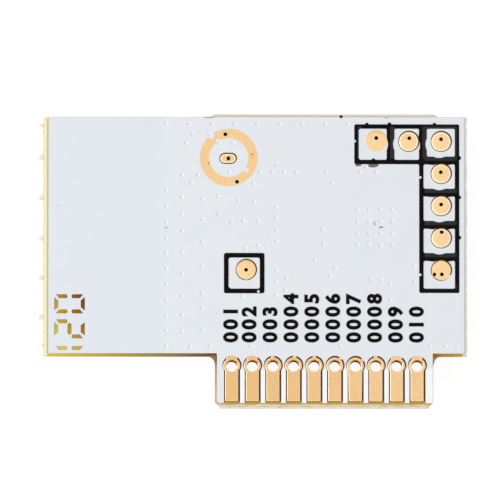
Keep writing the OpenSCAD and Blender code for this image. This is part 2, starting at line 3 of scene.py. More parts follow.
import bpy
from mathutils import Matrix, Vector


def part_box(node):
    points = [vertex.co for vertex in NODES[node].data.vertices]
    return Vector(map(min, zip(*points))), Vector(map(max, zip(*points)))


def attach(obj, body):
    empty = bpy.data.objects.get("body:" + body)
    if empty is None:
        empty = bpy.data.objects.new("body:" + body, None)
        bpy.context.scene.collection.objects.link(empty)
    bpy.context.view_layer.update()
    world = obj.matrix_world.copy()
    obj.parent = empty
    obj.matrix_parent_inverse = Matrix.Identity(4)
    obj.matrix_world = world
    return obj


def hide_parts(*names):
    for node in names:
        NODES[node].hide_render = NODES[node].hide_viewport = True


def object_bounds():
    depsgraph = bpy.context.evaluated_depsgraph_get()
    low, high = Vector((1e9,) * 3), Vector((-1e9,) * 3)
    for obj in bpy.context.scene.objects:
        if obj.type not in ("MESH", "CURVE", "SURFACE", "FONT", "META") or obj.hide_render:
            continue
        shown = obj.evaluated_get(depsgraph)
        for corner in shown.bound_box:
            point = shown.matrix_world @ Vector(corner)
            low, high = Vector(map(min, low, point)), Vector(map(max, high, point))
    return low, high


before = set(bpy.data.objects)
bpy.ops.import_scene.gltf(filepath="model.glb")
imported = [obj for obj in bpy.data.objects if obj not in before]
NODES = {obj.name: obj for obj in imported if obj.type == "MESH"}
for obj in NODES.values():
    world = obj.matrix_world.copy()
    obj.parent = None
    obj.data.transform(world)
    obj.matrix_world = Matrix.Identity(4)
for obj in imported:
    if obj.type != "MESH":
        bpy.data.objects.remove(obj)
CAD_BOX = [list(corner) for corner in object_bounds()]

import math
from collections import namedtuple
from contextlib import contextmanager

import bmesh
import bpy
from bpy.props import FloatProperty, FloatVectorProperty, IntProperty, PointerProperty
from bpy.types import Operator, Panel, PropertyGroup
from mathutils import Matrix, Vector, noise

bl_info = {
    "name": "Radio audio module",
    "version": (1, 0, 0),
    "blender": (4, 5, 0),
    "location": "3D View > Sidebar > Module",
    "description": "Dresses the CAD frame of a small plug-in radio audio module",
    "category": "Object",
}

MM = 0.001


def box_mm(node):
    """Lowest and highest corner of a CAD node, in millimetres."""
    low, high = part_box(node)
    return low / MM, high / MM


def middle_half(node):
    """Middle and half size of a CAD node, in millimetres."""
    low, high = box_mm(node)
    return (low + high) / 2, (high - low) / 2


def middle_mm(node):
    return middle_half(node)[0]


CONTACTS = [f"edge_contact_{i}" for i in range(1, 11)]
TEST_PADS = [f"test_pad_{i}" for i in range(1, 9)]
BULK_CAPACITORS = [f"bulk_capacitor_{i}" for i in range(1, 5)]
SMALL_CAPACITORS = [f"small_capacitor_{i}" for i in range(1, 9)]
RESISTORS = [f"resistor_{i}" for i in range(1, 5)]
CHIP_ENDS = {"bulk_capacitor_ends": BULK_CAPACITORS, "small_capacitor_ends": SMALL_CAPACITORS,
             "resistor_ends": RESISTORS}

# Places on the board, in millimetres: the nibs and the scored upper stretch lie outside its plain edges
NIB_L, SCORE_W, TAB_L = 0.28, 0.2, 3.25
LOW, HIGH = box_mm("laminate_plate")
X_LEFT, X_RIGHT = LOW.x + NIB_L, HIGH.x
Y_TAB, Y_TOP = LOW.y, HIGH.y - SCORE_W
Y_LOW = Y_TAB + TAB_L
HOLE_R = 0.35
HOLE_1_X = middle_mm(CONTACTS[0]).x
HOLE_PITCH = middle_mm(CONTACTS[1]).x - HOLE_1_X

# The tab's routed walls, and the lines just outside them that fibres, trims and tones go by
WALL_GAP, LINE_GAPS = 0.485, (0.58, 0.57)
FIRST_SIDE, LAST_SIDE = box_mm(CONTACTS[0])[0].x, box_mm(CONTACTS[-1])[1].x
WALL_LEFT, WALL_RIGHT = FIRST_SIDE - WALL_GAP, LAST_SIDE + WALL_GAP
TAB_LEFT, TAB_RIGHT = FIRST_SIDE - LINE_GAPS[0], LAST_SIDE + LINE_GAPS[1]

# Heights, in millimetres, and those between which a cutter goes clear through the pad-side mask
Z_UNDER, Z_FACE = LOW.z, HIGH.z
Z_COPPER = box_mm("test_pad_2")[1].z
Z_MASK = box_mm("pad_side_mask")[1].z
Z_UNDER_MASK = Z_UNDER - (Z_MASK - Z_FACE)
Z_SEAT = box_mm("soldered_lands")[0].z
MASK_CUT = (Z_FACE - 0.05, Z_MASK + 0.05)

# Points this close lie at the same place; in a copy of a CAD node, points closer than MERGE are made one
SLACK, MERGE = 0.005, 0.0005

# Parts under the board, and how far round each its lands and their gap reach
UNDER_PARTS = {**dict.fromkeys(("soc_leads", "flash_leads", "crystal_base", "inductor_core"), 0.3),
               **dict.fromkeys(BULK_CAPACITORS + SMALL_CAPACITORS + RESISTORS, 0.5)}

# Chip parts: wall of a plated end, its share of the part's length, and the solder at it; then the rounding
# of lands and leads
END_WALL, END_SHARE = 0.025, 0.24
FILLET_REACH, FILLET_SHARE = 0.17, 0.45
LAND_ROUND, LEAD_ROUND = 0.03, 0.02

# Leads of a chip: the sides they leave it on, how many to a side, and the solder's reach and drop at each
Leads = namedtuple("Leads", "sides count pitch width reach drop")
LEADS = {"soc_leads": Leads((0, 90, 180, 270), 10, pitch=0.4, width=0.2, reach=0.17, drop=0.15),
         "flash_leads": Leads((0, 180), 4, pitch=0.65, width=0.25, reach=0.09, drop=0.11)}

# Depth of the tool that marks a chip's first lead, and width and depth of the border of the crystal's lid
MARK_DEPTH = 0.08
LID_BORDER, LID_STEP = 0.13, 0.09

# Copper fills the board to the right of this line, and leaves the antenna's end bare
POUR_EDGE = -5.6

# Covered vias, as lines of (first x, first y, step x, step y, count), and the ones that stand alone
VIA_LINES = [
    (-5.35, 8.51, 1.40, 0, 9), (-5.35, 4.29, 0, -0.963, 11),
    (6.44, 3.17, 0.72, 0, 4), (6.44, 2.43, 0.72, 0, 4), (6.44, 1.68, 0.72, 0, 4), (6.44, 0.94, 0.72, 0, 4),
    (1.44, 3.30, 0, -0.7, 4), (1.44, -0.56, 0, -0.8, 3), (0.45, 5.47, 0.74, 0, 4),
]
VIA_COLUMNS = {-4.37: (5.28, 3.92, 2.86, 1.80, 0.50, -0.87, -2.23, -3.41, -4.41),
               -3.13: (3.79, 2.55, 1.18, -0.37, -2.05, -2.98, -4.28)}
VIA_ROWS = {-5.34: (-3.87, -2.64, -0.11, 5.39, 10.94, 11.87, 12.6), 5.47: (-1.46, 4.52, 6.62, 7.60),
            7.89: (-3.75, -2.70), 7.27: (-4.12, -2.08, -1.22), 4.79: (0.02, 4.89)}
LONE_VIAS = [
    (-3.38, 5.28), (-3.81, 4.85), (-2.14, 3.98), (-0.91, 3.73), (0.08, 3.61), (-2.14, 2.86), (-0.60, 2.43),
    (0.33, 2.43), (-1.34, 2.36), (4.28, 1.93), (4.34, 1.06), (0.33, 0.94), (-0.48, 0.75), (3.84, 0.07),
    (5.08, -0.43), (4.77, -0.99), (9.96, -0.37), (9.96, -1.36), (7.30, -1.18), (7.92, -1.24), (8.47, -1.43),
    (8.47, -2.42), (-0.66, -2.23), (2.05, -1.11), (1.99, -1.86), (6.99, 5.80),
]

# Pads that the mask's edge meets all round, the first of them a little larger than designed
FLUSH_PADS = ("test_pad_1", "ring_pad")
FLUSH_GROWTH = 0.035

# The other pads stand in a wider opening, a little off its middle; their low, wide rim is rounded while the
# pad is stretched upwards so many times, at the edges in a band along its outline
PAD_PITCH, PAD_SHIFT, PAD_GAP = 2.0, 0.02, 0.052
RIM_STRETCH, RIM_BAND = 4.0, 0.06

# A test pad and its opening are smaller and lower than designed; between these radii lie both their outlines
PAD_TRIM, PAD_DROP, PAD_RING = 0.03, 0.025, (0.5, 0.8)

# The centre pad and its opening, which lies within a band round it, are shorter; its via is wider
CENTRE_BOX = box_mm("centre_pad")
CENTRE_TRIM, CENTRE_GAP, CENTRE_BAND = Vector((0.05, 0.06)), 0.075, 0.15
CENTRE_VIA_R, CENTRE_VIA_GROWTH = 0.13, 1.2

# A contact's finger is narrower, from this far below and beside its hole; contacts and mask end a little
# lower at the foot
FINGER_TRIM, FINGER_START = 0.028, 0.3
FOOT_SHIFT, CONTACT_FOOT, MASK_FOOT = 0.025, 0.3, 0.15

# The mask stops short of the tab's left side with a cut corner, and laps over the right score line
TAB_MASK_INSET, TAB_MASK_CORNER = 0.21, 0.2
SCORE_LAP, SCORE_BAND = 0.05, 0.1

# Stains as (x, y, half length, half width, turn in degrees, strength)
MASK_STAINS = [
    (6.52, 5.95, 0.23, 0.11, 0, 1.0), (7.45, 5.92, 0.36, 0.16, 5, 1.0), (7.52, 2.30, 0.05, 0.16, 15, 0.7),
    (7.92, 2.06, 0.16, 0.05, 10, 0.9), (-5.34, 2.02, 0.12, 0.04, 25, 0.6),
    (-11.98, 3.38, 0.09, 0.04, 0, 0.35), (-2.70, 8.90, 0.42, 0.06, 0, 0.75),
    (1.37, 5.88, 0.06, 0.06, 0, 0.4), (5.46, 8.88, 0.10, 0.06, 0, 1.0), (8.26, 8.87, 0.16, 0.05, 0, 0.4),
]
LAMINATE_STAINS = [(5.46, 8.98, 0.12, 0.09, 0, 1.0)]
PAD_STAINS = [(9.46, 7.61, 0.10, 0.02, -22, 0.6)]
RING_STAINS = [(-0.05, 6.60, 0.12, 0.028, -18, 0.95), (-0.02, 6.42, 0.09, 0.022, -15, 0.6),
               (-2.74, 6.03, 0.03, 0.1, 20, 0.9)]

# Broken fibres: width of their band, how deep it is sunk, and the spacing of its points along and across it
FIBRE_WEB, FIBRE_SUNK, FIBRE_STEP, FIBRE_ROWS = 0.34, 0.05, 0.07, 7

# Torn ends of the scored upper stretch, as points from the corner where it starts; their thickness and
# rounding
TORN_ENDS = {
    "torn_end_left": (TAB_LEFT, [(0.02, -0.03), (0.02, 0.15), (-0.10, 0.11), (-0.26, 0.035), (-0.55, 0.02),
                                 (-0.72, -0.03)]),
    "torn_end_right": (TAB_RIGHT, [(-0.02, 0.17), (-0.02, -0.03), (0.46, -0.03), (0.34, 0.02), (0.14, 0.09)]),
}
TORN_THICK, TORN_ROUND = 0.34, 0.015

# Nibs down the left edge: their rows and width, the seed of the noise that tears them, so that every run
# tears them alike, and how far each is off its row and its share of the width
NIB_PITCH, NIB_END, NIB_W = 2.45, 0.5, 0.28
NIB_MIDDLE = (Y_LOW + Y_TOP) / 2
NIB_ROWS = [Y_TOP - NIB_END, *(NIB_MIDDLE + NIB_PITCH * k for k in (2, 1, 0, -1, -2)), Y_LOW + NIB_END]
NIB_SEED = 1
NIB_WEAR = [(0.0, 0.6), (0.0, 0.85), (-0.03, 0.9), (-0.13, 0.9), (-0.125, 1.0), (-0.10, 1.0), (0.137, 0.42)]

# Rounding of the tab's inner corners: the way out from each wall, and how much wider and longer it was routed
ROUTER_R = 0.4
ROUTER_GROWTH = {WALL_LEFT: (-1, 1.05, 1.45), WALL_RIGHT: (1, 1.0, 2.3)}

# Bars of a seven-bar numeral that are open for each digit, and the number shown, from its lowest digit up
BARS = {"0": "abcdef", "1": "bc", "2": "abged"}
WINDOW_NUMBER = "120"
WINDOW_RIGHT_EDGES = (-5.33, -3.67, -2.12)
WINDOW_HEAD = -12.24

# Printed boxes: how far the ink spreads, the rounding of its corners, its growth and move; the outer side of
# a box; and breaks in the ink
Ink = namedtuple("Ink", "spread corner growth move")
INK = {"frame_print_row": Ink(0.026, 0.10, 0.0, (0.008, 0.008)),
       "frame_print_single": Ink(0.014, 0.12, 0.021, (0.01, -0.03))}
FRAME_SIDE = 2.42
INK_BREAKS = [(6.30, 7.41), (10.34, 5.165), (10.33, -0.885)]
INK_BREAK_R = 0.085

# Printed pin numbers, from the left contact on, where their columns stand, and how bold they are
PIN_NUMBERS = ("001", "002", "003", "0004", "0005", "0006", "0007", "0008", "009", "010")
PIN_COLUMN_1, PIN_COLUMN_2, PIN_COLUMN_STEP, PIN_FOOT = -1.37, -0.23, 1.29, -5.18
PIN_BOLDNESS = 0.042

# Stage, in metres: the floor's size, and the key light's size and its place from where the camera aims
FLOOR_SIZE, KEY_SIZE, KEY_PLACE = 3.0, 0.4, Vector((-0.27, -0.06, 0.17))
FLOOR_SHADE, FLOOR_GLOW = 0.16, 0.9
SENSOR_MM, CLIP = 36, (0.01, 10)


def length(name, description, millimetres):
    return FloatProperty(name=name, description=description, default=millimetres * MM, unit="LENGTH",
                         precision=6)


def colour(name, description, red, green, blue):
    return FloatVectorProperty(name=name, description=description, default=(red, green, blue),
                               subtype="COLOR", min=0, max=1)


def degrees(name, description, value):
    return FloatProperty(name=name, description=description, default=math.radians(value), unit="ROTATION")


def level(name, description, value, unit="NONE"):
    return FloatProperty(name=name, description=description, default=value, unit=unit, min=0)


class ModuleSizes(PropertyGroup):
    """Sizes of what is added to the CAD pieces."""
    dimple_width: length("Dimple width", "Width of the dip in the mask over a covered via", 0.27)
    dimple_depth: length("Dimple depth", "Depth of the dip in the mask over a covered via", 0.047)
    rim_width: length("Contact rim", "Width of the rounded upper edge of a contact", 0.03)
    pad_rim: length("Pad rim", "Width of the low rounded edge of a pad", 0.09)
    digit_height: length("Digit height", "Height of a printed pin number", 0.93)
    digit_width: length("Digit width", "Width of a printed digit", 0.64)
    digit_advance: length("Digit advance", "Distance from one printed digit to the next", 0.8)
    ink_height: length("Ink height", "Thickness of the printed ink", 0.02)
    window_height: length("Window height", "Height of a numeral cut in the mask", 1.885)
    window_width: length("Window width", "Width of a numeral cut in the mask", 1.19)
    window_bar: length("Window bar", "Width of a numeral's bar", 0.25)
    fibre_reach: length("Fibre reach", "How far broken fibres stand out of a score line", 0.07)
    wire_turns: IntProperty(name="Wire turns", description="Turns of wire in one layer of the coil",
                            default=4, min=2)
    post_width: length("Post width", "Width of the post inside the coil", 1.5)
    end_round: length("End rounding", "Rounding of a chip part's plated ends", 0.06)
    body_round: length("Body rounding", "Rounding of moulded, fired and pressed edges", 0.04)
    mark_width: length("Mark width", "Width of the dimple that marks a chip's first lead", 0.42)
    mark_inset: length("Mark inset", "Distance of that dimple from the chip's sides", 0.55)


class ModuleColours(PropertyGroup):
    """Colours of the finishes."""
    mask_bare: colour("Mask", "White mask over the bare laminate", 0.755, 0.797, 0.846)
    mask_copper: colour("Mask over copper", "White mask where copper lies under it", 0.78, 0.812, 0.845)
    mask_bright: colour("Mask between contacts", "White mask between the contacts", 0.97, 0.98, 1.0)
    mask_cloud: colour("Mask clouding", "Faint clouds in the white mask", 0.62, 0.66, 0.68)
    stain: colour("Stain", "Dirt rubbed on the mask", 0.16, 0.12, 0.09)
    gold_pad: colour("Gold pad", "Plated test pads", 0.915, 0.655, 0.345)
    gold_edge: colour("Gold pad edge", "Plating near the edge of a pad", 0.83, 0.50, 0.23)
    gold_ring: colour("Gold ring", "Plated ring and the pad inside it", 0.865, 0.595, 0.305)
    gold_finger: colour("Gold finger", "Plated edge contacts", 0.80, 0.505, 0.226)
    gold_far: colour("Gold finger, far end", "Plated edge contacts at the right", 0.855, 0.585, 0.31)
    # Painted highlight: a lighter tint along the rounded upper edges of the plated copper
    gold_rim_highlight: colour("Gold rim", "Rounded upper edge of the plated copper", 1.0, 0.84, 0.58)
    gold_stain: colour("Gold stain", "Scratches and dirt on the plating", 0.10, 0.05, 0.03)
    barrel: colour("Barrel", "Plating inside a hole", 0.78, 0.30, 0.05)
    # Painted light on the left of a contact's hole, and painted shade far down a hole
    barrel_lit: colour("Lit barrel", "Plating inside a hole, on its bright side", 1.0, 0.70, 0.34)
    barrel_deep_shade: colour("Deep barrel", "Plating deep inside a hole", 0.17, 0.05, 0.010)
    ink: colour("Ink", "Black print", 0.005, 0.0045, 0.0045)
    ink_thin: colour("Thin ink", "Black print where it lies thin", 0.034, 0.029, 0.031)
    laminate_dark: colour("Dark laminate", "Laminate where no light gets in", 0.11, 0.036, 0.009)
    laminate_amber: colour("Amber laminate", "Laminate that light reaches from an edge", 0.44, 0.225, 0.015)
    laminate_bright: colour("Bright laminate", "Laminate close to an edge", 0.67, 0.52, 0.10)
    # Painted shade for the tab's inner corners, where the routed walls meet
    laminate_corner_shade: colour("Burnt laminate", "Laminate that the router burnt", 0.055, 0.043, 0.034)
    laminate_stain: colour("Laminate stain", "Dirt on the cut laminate", 0.015, 0.013, 0.012)
    fibre: colour("Fibre", "Broken and scored glass fibre", 0.92, 0.89, 0.80)
    copper: colour("Copper", "Bare copper under the mask", 0.72, 0.36, 0.20)
    solder: colour("Solder", "Tin solder and tinned leads", 0.62, 0.62, 0.61)
    moulding: colour("Moulding", "Black moulded epoxy", 0.022, 0.022, 0.024)
    crystal_base: colour("Crystal base", "Dark ceramic", 0.06, 0.045, 0.035)
    crystal_lid: colour("Crystal lid", "Plated lid", 0.62, 0.58, 0.50)
    ferrite: colour("Ferrite", "Grey ferrite", 0.05, 0.05, 0.055)
    winding: colour("Winding", "Enamelled copper wire", 0.50, 0.17, 0.05)
    capacitor: colour("Capacitor", "Tan ceramic", 0.36, 0.21, 0.10)
    resistor: colour("Resistor", "Black overcoat", 0.016, 0.016, 0.018)
    alumina: colour("Alumina", "White ceramic of a resistor", 0.70, 0.69, 0.65)
    floor: colour("Floor", "Pale floor", 0.8, 0.8, 0.8)


class ModuleStage(PropertyGroup):
    """Camera, light and floor."""
    tilt_low: degrees("Tilt to the tab", "How far the camera leans to the contact side", 6.6)
    tilt_left: degrees("Tilt to the left", "How far the camera leans to the bare end", 0.7)
    roll: degrees("Roll", "Turn of the picture", 0.0)
    distance: length("Distance", "From the camera to the board", 1000)
    field: length("Field", "Width that the picture takes in at the board", 30.85)
    aim_x: length("Aim across", "Point of the board at the picture's centre", -0.17)
    aim_y: length("Aim up", "Point of the board at the picture's centre", 0.64)
    world: level("World", "Strength of the light from all round", 0.70)
    key: level("Key light", "Power of the soft light on the left", 0.88, unit="POWER")


def sizes():
    return bpy.context.scene.module_sizes


def colours():
    return bpy.context.scene.module_colours


class Amount:
    """A number that varies over a surface; a sum with it adds a Math node to its tree."""

    def __init__(self, nodes, socket):
        self.nodes = nodes
        self.socket = socket

    def math(self, operation, *terms):
        return self.nodes.math(operation, self, *terms)

    def __add__(self, other):
        return self.math("ADD", other)

    def __radd__(self, other):
        return self.math("ADD", other)

    def __sub__(self, other):
        return self.math("SUBTRACT", other)

    def __rsub__(self, other):
        return self.nodes.math("SUBTRACT", other, self)

    def __mul__(self, other):
        return self.math("MULTIPLY", other)

    def __rmul__(self, other):
        return self.math("MULTIPLY", other)

    def __truediv__(self, other):
        return self.math("DIVIDE", other)

    def __rtruediv__(self, other):
        return self.nodes.math("DIVIDE", other, self)

    def __pow__(self, other):
        return self.math("POWER", other)

    def __rpow__(self, other):
        return self.nodes.math("POWER", other, self)

    def __abs__(self):
        return self.math("ABSOLUTE")

    def most(self, other):
        return self.math("MAXIMUM", other)

    def off_row(self, middle, pitch):
        """Distance, with its sign, from the nearest of a row of middles that are a pitch apart."""
        return ((self - (middle - pitch / 2)) / pitch).math("FRACT") * pitch - pitch / 2

    def step(self, low, high):
        """0 at low, 1 at high, smooth between them; low may be the greater."""
        made = self.nodes.node("ShaderNodeMapRange", {"interpolation_type": "SMOOTHSTEP"},
                               {"Value": self, "From Min": low, "From Max": high})
        return Amount(self.nodes, made.outputs["Result"])


class Nodes:
    """The nodes of a material or of the world."""

    def __init__(self, tree):
        self.tree = tree

    def node(self, kind, settings=None, inputs=None):
        """Adds a node: its settings first, a ramp's stops among them, then its sockets' values and links."""
        made = self.tree.nodes.new(kind)
        for key, value in (settings or {}).items():
            if key == "stops":
                self.set_stops(made.color_ramp, value)
            else:
                setattr(made, key, value)
        for key, value in (inputs or {}).items():
            self.give(made.inputs[key], value)
        return made

    def give(self, socket, value):
        """Sets a socket to a value, or links it to an amount or to the socket of another node."""
        value = value.socket if isinstance(value, Amount) else value
        if isinstance(value, bpy.types.NodeSocket):
            self.tree.links.new(value, socket)
        else:
            socket.default_value = value

    @staticmethod
    def set_stops(ramp, stops):
        while len(ramp.elements) < len(stops):
            ramp.elements.new(1)
        for element, (place, tint) in zip(ramp.elements, stops):
            element.position = place
            element.color = (*tint, 1)

    def math(self, operation, *terms):
        made = self.node("ShaderNodeMath", {"operation": operation}, dict(enumerate(terms)))
        return Amount(self, made.outputs[0])

    def shader(self, kind, **inputs):
        return self.node(kind, {}, inputs).outputs[0]

    def end(self, output, carried, seen):
        """Ends the tree: rays that the camera, a reflection or a clear body sends meet the seen shader, and
        those that carry light the other."""
        path = self.node("ShaderNodeLightPath")
        camera, glossy, clear = (Amount(self, path.outputs[f"Is {kind} Ray"])
                                 for kind in ("Camera", "Glossy", "Transmission"))
        share = camera.most(glossy).most(clear)
        blend = self.node("ShaderNodeMixShader", {}, {0: share, 1: carried, 2: seen})
        self.node(output, {}, {"Surface": blend.outputs[0]})


class Finish(Nodes):
    """A procedural material: one Principled shader and the nodes that vary it."""

    # Sockets of a Mix node that mixes colours, which share their names with those for numbers
    MIX_SHARE, MIX_FIRST, MIX_SECOND, MIX_RESULT = 0, 6, 7, 2

    def __init__(self, name, **constants):
        self.material = bpy.data.materials.new(name)
        self.material.use_nodes = True
        super().__init__(self.material.node_tree)
        for socket, value in constants.items():
            self.feed(socket.replace("_", " "), value)
        spot = self.node("ShaderNodeTexCoord")
        scaled = self.node("ShaderNodeVectorMath", {"operation": "SCALE"},
                           {"Vector": spot.outputs["Object"], "Scale": 1 / MM})
        self.spot = scaled.outputs["Vector"]
        parts = self.node("ShaderNodeSeparateXYZ", {}, {"Vector": self.spot})
        self.x, self.y, self.z = (Amount(self, parts.outputs[axis]) for axis in "XYZ")

    def feed(self, socket, source):
        self.give(self.tree.nodes["Principled BSDF"].inputs[socket], source)

    def noise(self, per_mm, detail=2.0, stretch=None, roughness=0.5):
        """Noise from 0 to 1 with so many lumps to a millimetre."""
        spot = self.spot
        if stretch:
            spot = self.node("ShaderNodeVectorMath", {"operation": "MULTIPLY"},
                             {0: spot, 1: stretch}).outputs["Vector"]
        made = self.node("ShaderNodeTexNoise", {}, {"Vector": spot, "Scale": per_mm, "Detail": detail,
                                                    "Roughness": roughness})
        return Amount(self, made.outputs[0])

    def mix(self, share, first, second):
        """A colour between two colours."""
        made = self.node("ShaderNodeMix", {"data_type": "RGBA"},
                         {self.MIX_SHARE: share, self.MIX_FIRST: self.tint(first),
                          self.MIX_SECOND: self.tint(second)})
        return made.outputs[self.MIX_RESULT]

    @staticmethod
    def tint(value):
        return value if isinstance(value, bpy.types.NodeSocket) else (*value, 1)

    def ramp(self, share, stops):
        return self.node("ShaderNodeValToRGB", {"stops": stops}, {"Fac": share}).outputs["Color"]

    def bump(self, height, depth_mm, strength=1.0):
        made = self.node("ShaderNodeBump", {},
                         {"Height": height, "Distance": depth_mm * MM, "Strength": strength})
        self.feed("Normal", made.outputs["Normal"])

    def stains(self, spots, ragged=0.5):
        """How much dirt lies here: ragged ovals round each spot."""
        grain = self.noise(9, detail=4, roughness=0.65) - 0.5
        total = None
        for x, y, half_l, half_w, turn, strength in spots:
            c, s = math.cos(math.radians(turn)), math.sin(math.radians(turn))
            along = ((self.x - x) * (c / half_l) + (self.y - y) * (s / half_l)) ** 2
            across = ((self.y - y) * (c / half_w) - (self.x - x) * (s / half_w)) ** 2
            here = (along + across + grain * (2 * ragged)).step(1.2, 0.5) * strength
            total = here if total is None else total.most(here)
        return total


def white_mask():
    """Semi-gloss white film, cooler over the bare end, with faint clouding and a few dirty marks."""
    tints = colours()
    finish = Finish("white_mask")
    over_copper = finish.x.step(POUR_EDGE - 0.5, POUR_EDGE + 0.3)
    base = finish.mix(over_copper, tints.mask_bare, tints.mask_copper)
    between = finish.y.step(Y_LOW - 0.7, Y_LOW - 1.0) * finish.x.step(TAB_LEFT + 0.6, TAB_LEFT + 0.8)
    base = finish.mix(between * 0.8, base, tints.mask_bright)
    cloud = finish.noise(0.5, detail=4)
    base = finish.mix((cloud - 0.5) * 0.4, base, tints.mask_cloud)
    base = finish.mix(finish.stains(MASK_STAINS) * finish.z.step(Z_UNDER, Z_FACE), base, tints.stain)
    finish.feed("Base Color", base)
    finish.feed("Roughness", 0.30 + finish.noise(1.5, detail=3) * 0.14)
    finish.bump(finish.noise(3, detail=3), 0.004, 0.5)
    return finish.material


def plated(name, tint, speckle, stains=None, far=None, edge=None, brushed=0.0):
    """Gold over nickel on copper, satin with fine pits: far is its tint at the right, edge that round a pad,
    and brushed is how much it is rubbed along the contacts."""
    finish = Finish(name, Metallic=1.0)
    grain = finish.noise(24, detail=3, roughness=0.7)
    cloud = finish.noise(1.6, detail=2)
    deep = tuple(c * k for c, k in zip(tint, (0.90, 0.82, 0.68)))
    plain = finish.mix(finish.x.step(TAB_LEFT, TAB_RIGHT), tint, far) if far else tint
    if edge:
        middle = middle_mm("test_pad_3")
        across, along = finish.x.off_row(middle.x, PAD_PITCH), finish.y.off_row(middle.y, PAD_PITCH)
        out = (across ** 2 + along ** 2) ** 0.5
        upper = along.step(0.1, 0.55)
        plain = finish.mix((out + (cloud - 0.5) * 0.3).step(0.42, 0.64) * upper, plain, edge)
    patches = finish.noise(5, detail=3, roughness=0.6)
    wear = finish.noise(9, detail=2, stretch=(1, 0.1, 1))
    share = (grain - 0.42) * speckle + (cloud - 0.5) * 0.45 + (patches - 0.5) * 1.8 + (wear - 0.5) * brushed
    base = finish.mix(share, plain, deep)
    if stains:
        base = finish.mix(finish.stains(stains, 0.3), base, colours().gold_stain)
    finish.feed("Base Color", base)
    finish.feed("Roughness", 0.26 + grain * 0.22)
    finish.bump(grain, 0.0025, 0.35)
    return finish.material


def barrel():
    """Dull plating down in a hole, with painted shade that deepens down it and a painted light at the left of
    a contact's hole.
    """
    finish = Finish("hole_plating", Roughness=0.6, Specular_IOR_Level=0.0)
    tints = colours()
    # Painted shade that deepens down the hole, strongest on its shaded side, and painted light at the left of
    # a contact's hole
    depth = finish.z.step(Z_COPPER, Z_UNDER)
    lines = finish.noise(10, detail=2, stretch=(1, 1, 0.2))
    across = finish.x.off_row(HOLE_1_X + PAD_SHIFT, HOLE_PITCH)
    shaded = across.step(-0.22 * HOLE_PITCH, 0.0).most(finish.y.step(Y_LOW, Y_LOW + 0.2))
    shade = (depth * 1.4 + lines * 0.4) * (0.2 + 0.8 * shaded)
    wall = finish.mix(shaded, tints.barrel_lit, tints.barrel)
    finish.feed("Base Color", finish.mix(shade, wall, tints.barrel_deep_shade))
    finish.bump(lines, 0.004, 0.4)
    return finish.material


def printed_ink():
    """Matt black print, a little thinner and greyer inside wide strokes."""
    finish = Finish("black_ink", Roughness=0.55, Specular_IOR_Level=0.03)
    tints = colours()
    high = box_mm("frame_print_row")[1]
    row, column = high.y - FRAME_SIDE, high.x - FRAME_SIDE
    stroke = (FRAME_SIDE - PAD_PITCH) / 2
    across = abs(finish.x.off_row(column + stroke, PAD_PITCH))
    along = abs(finish.y.off_row(row + stroke, PAD_PITCH))
    in_row, in_column = finish.y.step(row + 0.18, row + 0.24), finish.x.step(column + 0.18, column + 0.24)
    wide = (across.step(0.15, 0.11) * in_row).most(along.step(0.15, 0.11) * in_column)
    inside = finish.y.step(high.y - 0.2, high.y - 0.24) * finish.x.step(high.x - 0.2, high.x - 0.24)
    grain = finish.noise(14, detail=3)
    share = wide * inside * (0.75 + grain * 0.5) + (grain - 0.5) * 0.5
    finish.feed("Base Color", finish.mix(share, tints.ink, tints.ink_thin))
    finish.bump(grain, 0.004, 0.5)
    return finish.material


def lit_laminate(finish, cloth):
    """Amber that glows where light gets in at the left and lower edges, and is dark under the copper."""
    tints = colours()
    reach, fade_reach = 1.7, 5.5
    from_left = (finish.x - X_LEFT).most(0)
    from_low = (finish.y - Y_LOW).most(0)
    left_glow = math.e ** (from_left * (-1 / reach))
    fade = 0.22 + 0.78 * math.e ** (from_left * (-1 / fade_reach))
    low_glow = math.e ** (from_low * (-1 / reach)) * fade
    glow = left_glow + low_glow * finish.x.step(TAB_LEFT + 0.2, TAB_LEFT - 0.2)
    return finish.ramp(glow * 0.7 + cloth * 0.10, [
        (0.0, tints.laminate_dark), (0.20, (0.13, 0.045, 0.006)), (0.30, (0.33, 0.11, 0.006)),
        (0.42, tints.laminate_amber), (0.56, (0.57, 0.375, 0.055)), (0.72, tints.laminate_bright),
        (1.0, (0.78, 0.62, 0.14))])


